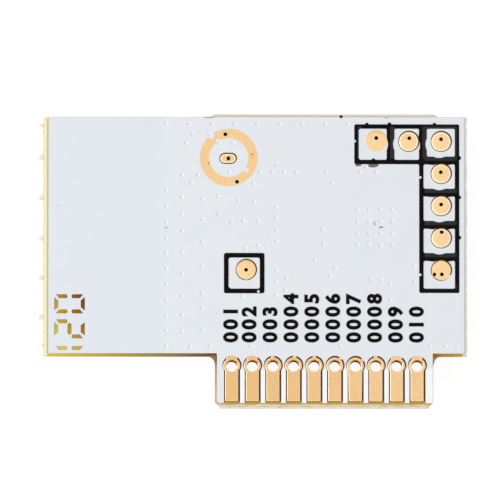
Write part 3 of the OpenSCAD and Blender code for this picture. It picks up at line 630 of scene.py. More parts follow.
def left_of_tab(finish, tone, cloth):
    """Routed edge left of the tab, with painted light that fades from its bright left end towards the inner
    corner and painted shade in that corner, and the tab's left side, darker up towards the corner.
    """
    x, y = finish.x, finish.y
    # Painted light: brightest at the left end, where light gets into the laminate, fading towards the tab
    edge = finish.ramp((x - X_LEFT).most(0) / (TAB_LEFT - X_LEFT) + cloth * 0.1, [
        (0.0, (0.78, 0.57, 0.08)), (0.45, (0.51, 0.34, 0.05)), (0.8, (0.30, 0.185, 0.06)),
        (0.90, (0.22, 0.128, 0.05)), (0.96, (0.25, 0.105, 0.02)), (1.0, (0.26, 0.11, 0.018))])
    tone = finish.mix((y - Y_LOW).step(0.17, 0.11) * x.step(TAB_LEFT + 0.4, TAB_LEFT + 0.3), tone, edge)
    side = finish.ramp((y - Y_TAB).most(0) / 3.3 + cloth * 0.1, [
        (0.0, (0.70, 0.54, 0.18)), (0.6, (0.46, 0.35, 0.16)), (0.8, (0.40, 0.29, 0.15)),
        (0.9, (0.36, 0.21, 0.07)), (1.0, (0.27, 0.11, 0.02))])
    tone = finish.mix(abs(x - TAB_LEFT).step(0.62, 0.58) * y.step(Y_LOW + 0.02, Y_LOW - 0.04), tone, side)
    # Painted shade in the tab's inner corner, down the tab's wall and along the edge beside it
    burnt = x.step(TAB_LEFT + 0.11, TAB_LEFT + 0.16) * y.step(Y_LOW - 0.8, Y_LOW - 0.3)
    burnt = burnt.most(y.step(Y_LOW - 0.01, Y_LOW + 0.05) * x.step(TAB_LEFT - 0.8, TAB_LEFT - 0.1))
    burnt = burnt * x.step(TAB_LEFT + 0.4, TAB_LEFT + 0.3) * y.step(Y_LOW + 0.2, Y_LOW + 0.1)
    return finish.mix(burnt * 0.9, tone, colours().laminate_corner_shade)


def right_of_tab(finish, tone, cloth):
    """Routed edge right of the tab: painted shade in the inner corner and towards the top of the wall, amber
    and then straw outwards.
    """
    x, y = finish.x, finish.y
    # Darkest by the inner corner, where the dark is painted shade
    edge = finish.ramp((x - TAB_RIGHT).most(0) / (X_RIGHT - TAB_RIGHT) + cloth * 0.2, [
        (0.0, (0.40, 0.19, 0.03)), (0.10, (0.50, 0.25, 0.04)), (0.22, (0.68, 0.37, 0.10)),
        (0.36, (0.74, 0.43, 0.12)), (0.5, (0.60, 0.40, 0.10)), (0.75, (0.68, 0.51, 0.15)),
        (1.0, (0.78, 0.64, 0.24))])
    # Painted shade towards the top of the wall
    edge = finish.mix(finish.z.step(Z_FACE - 0.40, Z_FACE - 0.05) * 0.45, edge, (0.16, 0.075, 0.01))
    # Painted shade in the inner corner, fading down the tab's right side
    corner = finish.ramp((Y_LOW - y).most(0) / 0.8, [
        (0.0, (0.40, 0.20, 0.04)), (0.35, (0.42, 0.29, 0.14)), (0.68, (0.30, 0.26, 0.21)),
        (0.85, (0.64, 0.63, 0.62))])
    edge = finish.mix(y.step(Y_LOW - 0.08, Y_LOW - 0.2), edge, corner)
    return finish.mix((y - Y_LOW).step(0.17, 0.11) * x.step(TAB_RIGHT - 0.14, TAB_RIGHT - 0.09), tone, edge)


def in_tab(finish, tone, cloth):
    """Laminate between the contacts darkened with painted shade, and the cut below them, with painted shade
    towards the contacts' ends, straw-coloured at the tab's corners.
    """
    x, y = finish.x, finish.y
    from_tab = (y - Y_TAB).most(0)
    # Painted shade in the gaps round the contacts
    inside = x.step(TAB_LEFT + 0.25, TAB_LEFT + 0.35) * y.step(Y_LOW + 0.3, Y_LOW - 0.3)
    tone = finish.mix(inside, tone, (0.105, 0.042, 0.014))
    # Painted shadow of the contacts' ends, darkest next to them
    foot = finish.ramp(from_tab * 2 + cloth * 0.08, [
        (0.40, (0.50, 0.36, 0.10)), (0.50, (0.52, 0.345, 0.09)), (0.62, (0.52, 0.27, 0.05)),
        (0.80, (0.40, 0.14, 0.02))])
    middle, half = (TAB_LEFT + TAB_RIGHT) / 2, (TAB_RIGHT - TAB_LEFT) / 2
    foot = finish.mix(abs(x - middle).step(half - 0.55, half - 0.45), foot, (0.58, 0.47, 0.18))
    return finish.mix(from_tab.step(0.42, 0.38), tone, foot)


def scored_laminate(finish, threads):
    """Pale cut fibre of the scored edges: yellow at the left, with painted light on its shaded lower end,
    streaked under the tab, white at the right.
    """
    tints = colours()
    x, y = finish.x, finish.y
    pale = finish.mix(x.step(X_LEFT + 1, X_LEFT + 2), (0.72, 0.66, 0.45), tints.fibre)
    nib = finish.mix(y.step(Y_LOW + 1.0, Y_LOW + 0.8), (0.92, 0.88, 0.72), (0.98, 0.97, 0.93))
    pale = finish.mix(x.step(X_LEFT - 0.02, X_LEFT - 0.08), pale, nib)
    streak = finish.noise(2.2, detail=3, stretch=(1, 5, 5))
    under_tab = finish.ramp((y - Y_TAB).most(0) * 3 + (streak - 0.5) * 0.9, [
        (0.05, tints.fibre), (0.28, (0.62, 0.46, 0.28)), (0.38, (0.92, 0.87, 0.70)),
        (0.60, (0.52, 0.39, 0.10))])
    pale = finish.mix(y.step(Y_TAB + 0.32, Y_TAB + 0.26), pale, under_tab)
    pale = finish.mix(threads * 0.5, pale, (0.68, 0.60, 0.42))
    # Painted light on the shaded lower end of the left score
    lower_end_light = y.step(Y_LOW + 0.06, Y_LOW + 0.02) * x.step(X_LEFT + 1, X_LEFT + 0.5)
    pale = finish.mix(lower_end_light, pale, (1.0, 0.92, 0.62))
    score = X_RIGHT - SCORE_W
    outer = x.step(score + 0.06, score + 0.12) - threads * 0.2
    right = finish.mix(outer, (0.66, 0.66, 0.58), (0.98, 0.98, 0.96))
    right = finish.mix(y.step(Y_LOW + 0.08, Y_LOW + 0.03), right, (1.0, 0.95, 0.84))
    return finish.mix(x.step(score - 0.1, score), pale, right)


def glass_laminate():
    """Translucent amber laminate: bright where light gets in, dark under copper, pale where cut."""
    finish = Finish("glass_laminate", Roughness=0.5, Specular_IOR_Level=0.0)
    x, y = finish.x, finish.y
    cloth = finish.noise(7, detail=3, stretch=(1, 1, 3)) - 0.5
    threads = finish.noise(11, detail=4, roughness=0.7)
    tone = left_of_tab(finish, lit_laminate(finish, cloth), cloth)
    inner_line = (x - X_LEFT).step(0.36, 0.32) * y.step(Y_LOW + 0.1, Y_LOW + 0.16)
    tone = finish.mix(inner_line, tone, (0.56, 0.48, 0.20))
    top_line = finish.mix(x.step(TAB_LEFT - 0.6, TAB_LEFT - 0.2), (0.86, 0.78, 0.62), (0.73, 0.62, 0.43))
    tone = finish.mix(y.step(Y_TOP - 0.12, Y_TOP - 0.08), tone, top_line)
    tone = right_of_tab(finish, in_tab(finish, tone, cloth), cloth)
    score = SCORE_W + 0.02
    past_sides = (X_LEFT + score - x).most(x - (X_RIGHT - score))
    past = past_sides.most(Y_TAB + score - y).most(y - (Y_TOP + 0.07))
    base = finish.mix(past.step(-0.03, 0.03), tone, scored_laminate(finish, threads))
    base = finish.mix(finish.stains(LAMINATE_STAINS), base, colours().laminate_stain)
    finish.feed("Base Color", base)
    finish.bump(threads, 0.02, 0.5)
    return finish.material


def broken_fibre():
    """Pale torn glass fibre with a thread in it, yellow at the left and whitest along the upper edge."""
    finish = Finish("broken_fibre", Roughness=0.75, Specular_IOR_Level=0.2)
    threads = finish.noise(16, detail=4, roughness=0.7)
    grey = finish.noise(1.1, detail=2)
    base = finish.mix(finish.x.step(X_LEFT + 1, X_LEFT + 2), (0.90, 0.80, 0.48), colours().fibre)
    base = finish.mix(threads * 0.7, base, (0.58, 0.52, 0.36))
    base = finish.mix((grey - 0.45) * 0.8, base, (0.70, 0.60, 0.50))
    base = finish.mix(finish.y.step(Y_TOP + 0.02, Y_TOP + 0.1) - threads * 0.2, base, (0.97, 0.95, 0.91))
    finish.feed("Base Color", base)
    finish.bump(threads, 0.02, 0.7)
    return finish.material


def plain_metal(name, tint, rough, grain_per_mm=8.0, stretch=None, depth=0.004):
    """Dull or bright metal with fine grain."""
    finish = Finish(name, Metallic=1.0)
    grain = finish.noise(grain_per_mm, detail=4, stretch=stretch, roughness=0.6)
    cloud = finish.noise(1.2)
    finish.feed("Base Color", finish.mix(grain * 0.5 + cloud * 0.4, tint, tuple(0.62 * c for c in tint)))
    finish.feed("Roughness", rough - 0.08 + grain * 0.16)
    finish.bump(grain, depth, 0.5)
    return finish.material


def plain_solid(name, tint, rough, grain_per_mm=12.0, spread=0.45):
    """Moulded or fired material with a fine grain."""
    finish = Finish(name)
    grain = finish.noise(grain_per_mm, detail=4, roughness=0.65)
    cloud = finish.noise(1.0, detail=3)
    light = tuple(min(1.0, c * (1 + spread) + 0.004) for c in tint)
    finish.feed("Base Color", finish.mix(grain * 0.6 + cloud * 0.4, tint, light))
    finish.feed("Roughness", rough - 0.08 + grain * 0.16)
    finish.bump(grain, 0.006, 0.5)
    return finish.material


def pick(*pieces):
    """Selects only these pieces, with the last one active."""
    bpy.ops.object.select_all(action="DESELECT")
    for piece in pieces:
        piece.select_set(True)
    bpy.context.view_layer.objects.active = pieces[-1]


def apply_place(piece):
    """Puts a piece's place, turn and scale into its mesh."""
    pick(piece)
    bpy.ops.object.transform_apply(location=True, rotation=True, scale=True)


def rescale(piece, share):
    piece.scale = (share,) * 3
    apply_place(piece)


def start(add, name, **settings):
    """Adds a primitive, the only thing selected, as the start of a piece."""
    bpy.ops.object.select_all(action="DESELECT")
    add(**settings)
    piece = bpy.context.active_object
    piece.name = name
    apply_place(piece)
    return piece


@contextmanager
def editing(piece, outwards=False):
    """Edit mode with all of a piece selected; outwards turns its faces that way at the end."""
    pick(piece)
    bpy.ops.object.mode_set(mode="EDIT")
    bpy.ops.mesh.select_all(action="SELECT")
    yield
    if outwards:
        bpy.ops.mesh.select_all(action="SELECT")
        bpy.ops.mesh.normals_make_consistent(inside=False)
    bpy.ops.object.mode_set(mode="OBJECT")


def select_only(piece, kind, wanted):
    """In edit mode, selects the edges or faces for which wanted(part) holds; kind is EDGE or FACE."""
    bpy.ops.mesh.select_mode(type=kind)
    bpy.ops.mesh.select_all(action="DESELECT")
    mesh = bmesh.from_edit_mesh(piece.data)
    for part in (mesh.edges if kind == "EDGE" else mesh.faces):
        part.select = wanted(part)
    mesh.select_flush_mode()
    bmesh.update_edit_mesh(piece.data)


def node_copy(node, name):
    """A copy of a CAD node in millimetres, its loose triangles merged and its flat faces joined."""
    piece = bpy.data.objects.new(name, NODES[node].data.copy())
    bpy.context.collection.objects.link(piece)
    piece.data.materials.clear()
    rescale(piece, 1 / MM)
    with editing(piece):
        bpy.ops.mesh.remove_doubles(threshold=MERGE)
        bpy.ops.mesh.dissolve_limited(angle_limit=math.radians(0.5))
        bpy.ops.mesh.customdata_custom_splitnormals_clear()
    return piece


def is_corner(edge, least=math.radians(30)):
    return len(edge.link_faces) == 2 and edge.calc_face_angle(0) > least


def corner_at(z, slack=0.004):
    """A test for the corner edges that lie at a height."""
    def wanted(edge):
        return is_corner(edge) and all(abs(vert.co.z - z) < slack for vert in edge.verts)
    return wanted


def round_edges(piece, width, wanted, segments=2, clamp=True):
    """Rounds the wanted edges of a piece that is still in millimetres."""
    with editing(piece, outwards=True):
        select_only(piece, "EDGE", wanted)
        bpy.ops.mesh.bevel(offset=width, segments=segments, profile=0.5, clamp_overlap=clamp)


def cut(piece, cutter):
    """Takes the cutter's shape out of a piece."""
    pick(piece)
    boolean = piece.modifiers.new("cut", "BOOLEAN")
    boolean.operation = "DIFFERENCE"
    boolean.solver = "EXACT"
    boolean.object = cutter
    bpy.ops.object.modifier_apply(modifier=boolean.name)
    bpy.data.objects.remove(cutter)
    if not piece.data.polygons:
        raise RuntimeError(f"Nothing is left of {piece.name} after a cut")


def join(pieces):
    """Joins pieces into the last of them."""
    pick(*pieces)
    if len(pieces) > 1:
        bpy.ops.object.join()
    return pieces[-1]


def copies(piece, places):
    """Copies of a piece in these frames, each with its own mesh, joined into one."""
    made = []
    for place in places:
        twin = piece.copy()
        twin.data = piece.data.copy()
        twin.matrix_world = place
        bpy.context.collection.objects.link(twin)
        made.append(twin)
    bpy.data.objects.remove(piece)
    joined = join(made)
    apply_place(joined)
    return joined


def prism(name, outline, low, high):
    """A flat outline raised from one height to another, from a filled ring of as many points."""
    piece = start(bpy.ops.mesh.primitive_circle_add, name, vertices=len(outline), radius=1, fill_type="NGON")
    for vert, (x, y) in zip(piece.data.vertices, outline):
        vert.co = (x, y, low)
    with editing(piece, outwards=True):
        bpy.ops.mesh.extrude_region_move(TRANSFORM_OT_translate={"value": (0, 0, high - low)})
    return piece


def seat(piece, finishes, replaced=(), smooth=35):
    """Brings a piece that is finished in millimetres to metres, and puts it on the board."""
    rescale(piece, MM)
    bpy.ops.object.shade_smooth_by_angle(angle=math.radians(smooth))
    for finish in finishes:
        piece.data.materials.append(finish)
    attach(piece, "root")
    if replaced:
        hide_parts(*replaced)


def paint(node, finish):
    """Gives a CAD node a finish in its own material slots."""
    slots = NODES[node].material_slots
    for slot in slots:
        slot.material = finish
    if not slots:
        NODES[node].data.materials.append(finish)


def paint_faces(piece, choose):
    """Sets each face's finish by choose(centre, normal), with the piece still in millimetres."""
    for face in piece.data.polygons:
        face.material_index = choose(face.center, face.normal)


class MODULE_OT_laminate(Operator):
    """Finishes the laminate and roughens its broken score lines"""
    bl_idname = "module.laminate"
    bl_label = "Laminate"

    def execute(self, context):
        seat(broken_laminate(), [glass_laminate()], ["laminate_plate"], smooth=25)
        finish = broken_fibre()
        mid = (Z_UNDER + Z_FACE) / 2
        tab_end, top = 0.35, Y_TOP + SCORE_W
        rows = {"fibres_left": ((X_LEFT, Y_LOW), (X_LEFT, Y_TOP), (-1, 0), 1.3),
                "fibres_right": ((X_RIGHT, Y_LOW), (X_RIGHT, Y_TOP), (1, 0), 1.0),
                "fibres_tab": ((TAB_LEFT + tab_end, Y_TAB), (TAB_RIGHT - tab_end, Y_TAB), (0, -1), 0.6),
                "fibres_top": ((TAB_LEFT, top), (TAB_RIGHT, top), (0, 1), 0.2)}
        for name, (first, last, out, share) in rows.items():
            row = fibre_row(name, Vector((*first, mid)), Vector((*last, mid)), Vector((*out, 0)), share)
            seat(row, [finish], smooth=60)
        for name, (x, outline) in TORN_ENDS.items():
            shape = [(x + u, Y_TOP + v) for u, v in outline]
            chip = prism(name, shape, mid - TORN_THICK / 2, mid + TORN_THICK / 2)
            round_edges(chip, TORN_ROUND, is_corner)
            seat(chip, [finish])
        return {"FINISHED"}


def broken_laminate():
    """The board with its nibs torn off unevenly, and its inner corners as wide as the router left them."""
    piece = node_copy("laminate_plate", "laminate_plate_broken")
    noise.seed_set(NIB_SEED)
    for vert in piece.data.vertices:
        vert.co = routed_corner(torn_nib(vert.co))
    piece.data.update()
    return piece


def torn_nib(spot):
    """Where a point goes when the nibs are torn off."""
    lumps_per_mm, depth, root = 7.0, 0.05, 0.1
    for row, (move, share) in zip(NIB_ROWS, NIB_WEAR):
        if spot.x < X_LEFT + SLACK and abs(spot.y - row) < NIB_W / 2 + 2 * SLACK:
            torn = noise.noise_vector(spot * lumps_per_mm) * depth if spot.x < X_LEFT - root else Vector()
            return Vector((spot.x + abs(torn.x), row + move + (spot.y - row) * share + torn.y, spot.z))
    return spot


def routed_corner(spot):
    """Where a point goes when the tab's inner corners are routed wider."""
    for wall, (side, wider, longer) in ROUTER_GROWTH.items():
        out, down = (spot.x - wall) * side, Y_LOW - spot.y
        if all(-SLACK < way < ROUTER_R + SLACK for way in (out, down)):
            return Vector((wall + side * out * wider, Y_LOW - down * longer, spot.z))
    return spot


def fibre_row(name, first, last, out, share):
    """A torn bar along a score line: a fine grid pulled out by noise, closed behind."""
    reach = sizes().fibre_reach / MM * share
    run = last - first
    piece = start(bpy.ops.mesh.primitive_grid_add, name, size=1,
                  x_subdivisions=round(run.length / FIBRE_STEP), y_subdivisions=FIBRE_ROWS)
    for vert in piece.data.vertices:
        along, up = vert.co.x, vert.co.y
        spot = first + run * (along + 0.5)
        fine = noise.noise(spot * 9.0 + Vector((0, 0, up * 2)))
        torn = noise.fractal(spot * 2.3, 0.8, 2.1, 4) * 0.5 + fine * 0.35
        crown = 1 - (2 * abs(up)) ** 2
        pull = reach * (0.35 + torn) * (0.25 + 0.75 * crown)
        lift = noise.noise(spot * 5.0 + Vector((7, 3, 1))) * 0.03
        vert.co = spot + out * (max(pull, -0.02) + 0.004) + Vector((0, 0, up * FIBRE_WEB + lift * crown))
    with editing(piece, outwards=True):
        bpy.ops.mesh.extrude_region_move(TRANSFORM_OT_translate={"value": tuple(out * -(FIBRE_SUNK + reach))})
    return piece


class MODULE_OT_masks(Operator):
    """Cuts the dimples in both masks and the openings in the pad-side one, and finishes them"""
    bl_idname = "module.masks"
    bl_label = "Solder masks"

    def execute(self, context):
        finish = white_mask()
        under = node_copy("part_side_mask", "part_side_mask_face")
        upside_down = Matrix.Rotation(math.pi, 4, "X")
        cut(under, dimple_cutter([Matrix.Translation((x, y, Z_UNDER_MASK)) @ upside_down
                                  for x, y in via_places() if clear_of_parts(x, y)]))
        seat(under, [finish], ["part_side_mask"], smooth=25)
        mask = node_copy("pad_side_mask", "pad_side_mask_face")
        cut(mask, dimple_cutter([Matrix.Translation((x, y, Z_MASK)) for x, y in via_places()]))
        cut(mask, window_cutter())
        cut(mask, opening_cutter())
        cut(mask, tab_cutter())
        settle_mask(mask)
        seat(mask, [finish], ["pad_side_mask"], smooth=25)
        return {"FINISHED"}


def via_places():
    """Every covered via, from the lines, columns, rows and lone ones."""
    places = [(x + i * dx, y + i * dy) for x, y, dx, dy, count in VIA_LINES for i in range(count)]
    places += [(x, y) for x, rows in VIA_COLUMNS.items() for y in rows]
    places += [(x, y) for y, columns in VIA_ROWS.items() for x in columns]
    return places + LONE_VIAS


def clear_of_parts(x, y):
    """Is this place on the part side clear of every part and its lands?"""
    for node, margin in UNDER_PARTS.items():
        low, high = box_mm(node)
        if low.x - margin < x < high.x + margin and low.y - margin < y < high.y + margin:
            return False
    return True


def dimple_cutter(places):
    """Caps of a ball that dip into the mask, one for each frame."""
    half, depth = sizes().dimple_width / MM / 2, sizes().dimple_depth / MM
    ball = (half * half + depth * depth) / (2 * depth)
    clear = 0.02
    cap = start(bpy.ops.mesh.primitive_uv_sphere_add, "dimple", segments=24, ring_count=36, radius=ball,
                location=(0, 0, ball - depth))
    with editing(cap):
        bpy.ops.mesh.bisect(plane_co=(0, 0, clear), plane_no=(0, 0, 1), use_fill=True, clear_outer=True)
    return copies(cap, places)


def bar_outline(bar, width, height, thick):
    """Outline of one bar of a numeral, its foot at the left below, with mitred and pointed ends."""
    tip, point, head, mitre, corner, inset = 0.11, 0.08, 0.10, 0.20, 0.18, 0.2
    mid, half = height / 2, thick / 2
    top = [(corner, height), (width - corner, height), (width - corner - mitre, height - thick),
           (corner + mitre, height - thick)]
    side = [(width, height - head), (width - thick, height - head - mitre),
            (width - thick, mid + tip + point), (width - half, mid + tip), (width, mid + tip + point)]
    middle = [(inset, mid), (inset + half, mid + half), (width - inset - half, mid + half),
              (width - inset, mid), (width - inset - half, mid - half), (inset + half, mid - half)]
    shape = {"a": top, "d": top, "g": middle}.get(bar, side)
    if bar in "dce":
        shape = [(u, height - v) for u, v in shape]
    if bar in "fe":
        shape = [(width - u, v) for u, v in shape]
    return shape


def window_cutter():
    """The numeral's open bars, cut through the mask to the laminate; it reads upwards."""
    size = sizes()
    width, height, thick = size.window_width / MM, size.window_height / MM, size.window_bar / MM
    bars = []
    for digit, right_edge in zip(WINDOW_NUMBER, WINDOW_RIGHT_EDGES):
        for bar in BARS[digit]:
            shape = [(WINDOW_HEAD + height - v, right_edge - width + u)
                     for u, v in bar_outline(bar, width, height, thick)]
            bars.append(prism("bar", shape, *MASK_CUT))
    return join(bars)


def slot_outline(middle, half, ends=16):
    """Outline of a level slot with round ends."""
    points = []
    for side, first in ((1, -90), (-1, 90)):
        for i in range(ends + 1):
            turn = math.radians(first + 180 * i / ends)
            points.append((middle.x + side * (half.x - half.y) + half.y * math.cos(turn),
                           middle.y + half.y * math.sin(turn)))
    return points


def drum(spot, radius, height=0.2):
    """A drum that cuts through the mask and the ink on it."""
    return start(bpy.ops.mesh.primitive_cylinder_add, "drum", vertices=64, radius=radius, depth=height,
                 location=(*spot, Z_MASK))


def opening_cutter():
    """Even openings in the mask round the pads."""
    cutters = []
    for pad in TEST_PADS:
        middle, half = middle_half(pad)
        gap, shift = (FLUSH_GROWTH, 0) if pad in FLUSH_PADS else (PAD_GAP, PAD_SHIFT)
        cutters.append(drum((middle.x + shift, middle.y + shift), half.x + gap))
    middle, half = middle_half("centre_pad")
    outline = slot_outline(middle + Vector((PAD_SHIFT,) * 3), half + Vector((CENTRE_GAP,) * 3))
    cutters.append(prism("slot", outline, *MASK_CUT))
    return join(cutters)


def tab_cutter():
    """What the mask leaves bare at the tab's left side, with its lower corner cut off."""
    left, head, foot, clear = TAB_LEFT + TAB_MASK_INSET, Y_LOW + 0.02, Y_TAB + SCORE_W, 0.4
    return prism("tab_trim", [(left - clear, head), (left - clear, foot - clear),
                              (left + TAB_MASK_CORNER + clear, foot - clear),
                              (left, foot + TAB_MASK_CORNER), (left, head)], *MASK_CUT)


def settle_mask(mask):
    """Moves the mask's edges a little: round the pads, at the right score line and at the tab's foot."""
    middle, half = middle_half("centre_pad")
    reach = half + Vector((CENTRE_BAND,) * 3)
    pads = pad_middles()
    for vert in mask.data.vertices:
        for pad in pads:
            trim_pad(vert, pad)
        out = vert.co - middle
        if abs(out.x) < reach.x and abs(out.y) < reach.y:
            trim_centre(vert)
        if vert.co.x > X_RIGHT - SCORE_W - SCORE_BAND:
            vert.co.x = X_RIGHT - SCORE_W + SCORE_LAP
        if vert.co.y < Y_TAB + SCORE_W + MASK_FOOT:
            vert.co.y -= FOOT_SHIFT


def pad_middles():
    """Middles of the test pads that stand in a wider opening."""
    return [middle_mm(pad) for pad in TEST_PADS if pad not in FLUSH_PADS]


def trim_pad(vert, middle):
    """Moves a point at the outline of a test pad or of its opening inwards and down."""
    out = (vert.co - middle).xy
    if PAD_RING[0] < out.length < PAD_RING[1]:
        vert.co.xy -= out.normalized() * PAD_TRIM + Vector((0, PAD_DROP))


def trim_centre(vert):
    """Moves a point of the centre pad or its opening: shorter at the right and above, with a wider via."""
    low, high = CENTRE_BOX
    spot = vert.co - Vector((PAD_SHIFT, PAD_SHIFT, 0))
    from_via = (spot - (low + high) / 2).xy
    if from_via.length < CENTRE_VIA_R:
        vert.co.xy += from_via * (CENTRE_VIA_GROWTH - 1)
    else:
        vert.co.x -= CENTRE_TRIM.x * (spot.x - low.x) / (high.x - low.x)
        vert.co.y -= CENTRE_TRIM.y * (spot.y - low.y) / (high.y - low.y)


class MODULE_OT_contacts(Operator):
    """Rounds and finishes the edge contacts"""
    bl_idname = "module.contacts"
    bl_label = "Edge contacts"

    def execute(self, context):
        tints = colours()
        # The second finish is a painted highlight on the contacts' rounded rims
        finishes = [plated("gold_finger", tints.gold_finger, 0.5, far=tints.gold_far, brushed=1.2),
                    plated("gold_finger_rim_highlight", tints.gold_rim_highlight, 0.2), barrel()]
        for node in CONTACTS:
            contact = node_copy(node, node + "_plated")
            round_edges(contact, sizes().rim_width / MM, corner_at(Z_COPPER))
            low, high = box_mm(node)
            half = (high.x - low.x) / 2
            hole = Vector((low.x + half, high.y - half, 0))
            paint_plated(contact, hole)
            settle_contact(contact, hole)
            seat(contact, finishes, [node], smooth=20)
        return {"FINISHED"}


def settle_contact(contact, hole):
    """Makes a contact's finger narrower, and moves the contact a little to the right and its end down."""
    for vert in contact.data.vertices:
        out = vert.co.x - hole.x
        if vert.co.y < hole.y - FINGER_START and abs(out) > FINGER_START:
            vert.co.x -= math.copysign(FINGER_TRIM, out)
        vert.co.x += PAD_SHIFT
        if vert.co.y < Y_TAB + SCORE_W + CONTACT_FOOT:
            vert.co.y -= FOOT_SHIFT


def paint_plated(piece, hole=None):
    """Paints a plated piece by face: flat, rim with a painted highlight, and hole, whose finish also gives
    the shaded side of its rim painted shade.
    """
    flat, rim, wall = range(3)
    upright, sloped, level_z, rim_w = 0.2, 0.15, 0.9995, 0.05

    def choose(centre, normal):
        if abs(normal.z) < upright and Z_UNDER < centre.z < Z_FACE:
            return wall
        if not sloped < normal.z < level_z:
            return flat
        # Rim faces on the hole's lower side take the hole's finish as painted shade
        shaded = hole and (centre - hole).xy.length < HOLE_R + rim_w and normal.y < -sloped
        return wall if shaded else rim
    paint_faces(piece, choose)


class MODULE_OT_pads(Operator):
    """Rounds and finishes the test pads, the ring and the pad inside it"""
    bl_idname = "module.pads"
    bl_label = "Pads"

    def execute(self, context):
        tints = colours()
        # The second finish is a painted highlight on the pads' rounded rims
        finishes = [plated("gold_pad", tints.gold_pad, 0.55, PAD_STAINS, edge=tints.gold_edge),
                    plated("gold_pad_rim_highlight", tints.gold_rim_highlight, 0.2), barrel()]
        ring = [plated("gold_ring", tints.gold_ring, 0.6, RING_STAINS), *finishes[1:]]
        for node in TEST_PADS + ["ring_pad", "centre_pad"]:
            pad = node_copy(node, node + "_plated")
            if node not in FLUSH_PADS:
                stretch_up(pad, RIM_STRETCH)
                round_edges(pad, sizes().pad_rim / MM, on_outline(node))
                stretch_up(pad, 1 / RIM_STRETCH)
            paint_plated(pad)
            settle_pad(pad, node)
            seat(pad, finishes if node in TEST_PADS else ring, [node], smooth=20)
        return {"FINISHED"}


def stretch_up(piece, share):
    """Stretches a piece upwards from the top of the copper."""
    for vert in piece.data.vertices:
        vert.co.z = Z_COPPER + (vert.co.z - Z_COPPER) * share
    piece.data.update()


def on_outline(node):
    """A test for the corner edges round the top of a pad, a disc or a level slot."""
    middle, half = middle_half(node)
    at_top = corner_at(Z_COPPER)

    def wanted(edge):
        spot = (edge.verts[0].co + edge.verts[1].co) / 2 - middle
        out = Vector((max(abs(spot.x) - (half.x - half.y), 0), spot.y)).length
        return out > half.y - RIM_BAND and at_top(edge)
    return wanted


def settle_pad(pad, node):
    """Brings a pad to the place and size that it has in its opening."""
    middle, half = middle_half(node)
    for vert in pad.data.vertices:
        if node not in FLUSH_PADS:
            vert.co += Vector((PAD_SHIFT, PAD_SHIFT, 0))
        elif node in TEST_PADS:
            vert.co.xy += (vert.co - middle).xy * (FLUSH_GROWTH / half.x)
        if node == "centre_pad":
            trim_centre(vert)
        elif node not in FLUSH_PADS:
            trim_pad(vert, middle)


class MODULE_OT_prints(Operator):
    """Finishes the printed boxes and prints the pin numbers"""
    bl_idname = "module.prints"
    bl_label = "Printed ink"

    def execute(self, context):
        finish = printed_ink()
        pads = pad_middles()
        for node, ink in INK.items():
            boxes = node_copy(node, node + "_ink")
            spread_ink(boxes, ink.spread)
            round_edges(boxes, ink.corner, is_square_upright, segments=3, clamp=False)
            middle = middle_mm(node)
            for vert in boxes.data.vertices:
                vert.co.xy += (vert.co - middle).xy * ink.growth + Vector(ink.move)
                for pad in pads:
                    trim_pad(vert, pad)
            if node == "frame_print_row":
                for spot in INK_BREAKS:
                    cut(boxes, drum(spot, INK_BREAK_R))
            seat(boxes, [finish], [node])
        seat(pin_numbers(), [finish])
        return {"FINISHED"}


def spread_ink(piece, spread):
    """Moves the print's upright walls out by spread, and leaves its height as it is."""
    heights = [vert.co.z for vert in piece.data.vertices]
    with editing(piece):
        bpy.ops.transform.shrink_fatten(value=spread, use_even_offset=True)
    for vert, height in zip(piece.data.vertices, heights):
        vert.co.z = height


def is_square_upright(edge):
    """Is this an upright edge between two faces that are square to each other?"""
    upright = abs(edge.verts[0].co.z - edge.verts[1].co.z) > 0.01
    return upright and len(edge.link_faces) == 2 and abs(edge.calc_face_angle(0) - math.pi / 2) < 0.05


def digit_shape(digit, scale):
    """One printed digit as a mesh, standing upright at the origin."""
    bpy.ops.object.select_all(action="DESELECT")
    bpy.ops.object.text_add()
    text = bpy.context.active_object
    text.data.body = digit
    text.data.size = 1
    text.data.offset = PIN_BOLDNESS
    text.data.extrude = 0.5
    text.data.resolution_u = 4
    bpy.ops.object.convert(target="MESH")
    piece = bpy.context.active_object
    with editing(piece):
        bpy.ops.mesh.remove_doubles(threshold=0.0001)
    piece.scale = scale
    apply_place(piece)
    return piece


def extent(piece):
    """Lowest and highest corner of a piece's mesh."""
    spots = [vert.co for vert in piece.data.vertices]
    return Vector(map(min, zip(*spots))), Vector(map(max, zip(*spots)))


def pin_numbers():
    """The pin numbers, each reading up from beside its contact."""
    size = sizes()
    pattern = digit_shape("0", (1, 1, 1))
    low, high = extent(pattern)
    bpy.data.objects.remove(pattern)
    scale = (size.digit_width / MM / (high.x - low.x), size.digit_height / MM / (high.y - low.y),
             size.ink_height / MM)
    upwards = Matrix.Rotation(math.pi / 2, 4, "Z")
    printed = []
    for digit in sorted(set("".join(PIN_NUMBERS))):
        shape = digit_shape(digit, scale)
        low, high = extent(shape)
        centred = Matrix.Translation((-(low.x + high.x) / 2, -(low.y + high.y) / 2, -low.z))
        places = [Matrix.Translation(spot) @ upwards @ centred for spot in digit_spots(digit)]
        printed.append(copies(shape, places))
    numbers = join(printed)
    numbers.name = "pin_numbers"
    return numbers


def digit_spots(digit):
    """Where a digit stands in the pin numbers."""
    advance = sizes().digit_advance / MM
    columns = [PIN_COLUMN_1, *(PIN_COLUMN_2 + i * PIN_COLUMN_STEP for i in range(len(PIN_NUMBERS) - 1))]
    return [(x, PIN_FOOT + (i + 0.5) * advance, Z_MASK) for x, number in zip(columns, PIN_NUMBERS)
            for i, character in enumerate(number) if character == digit]


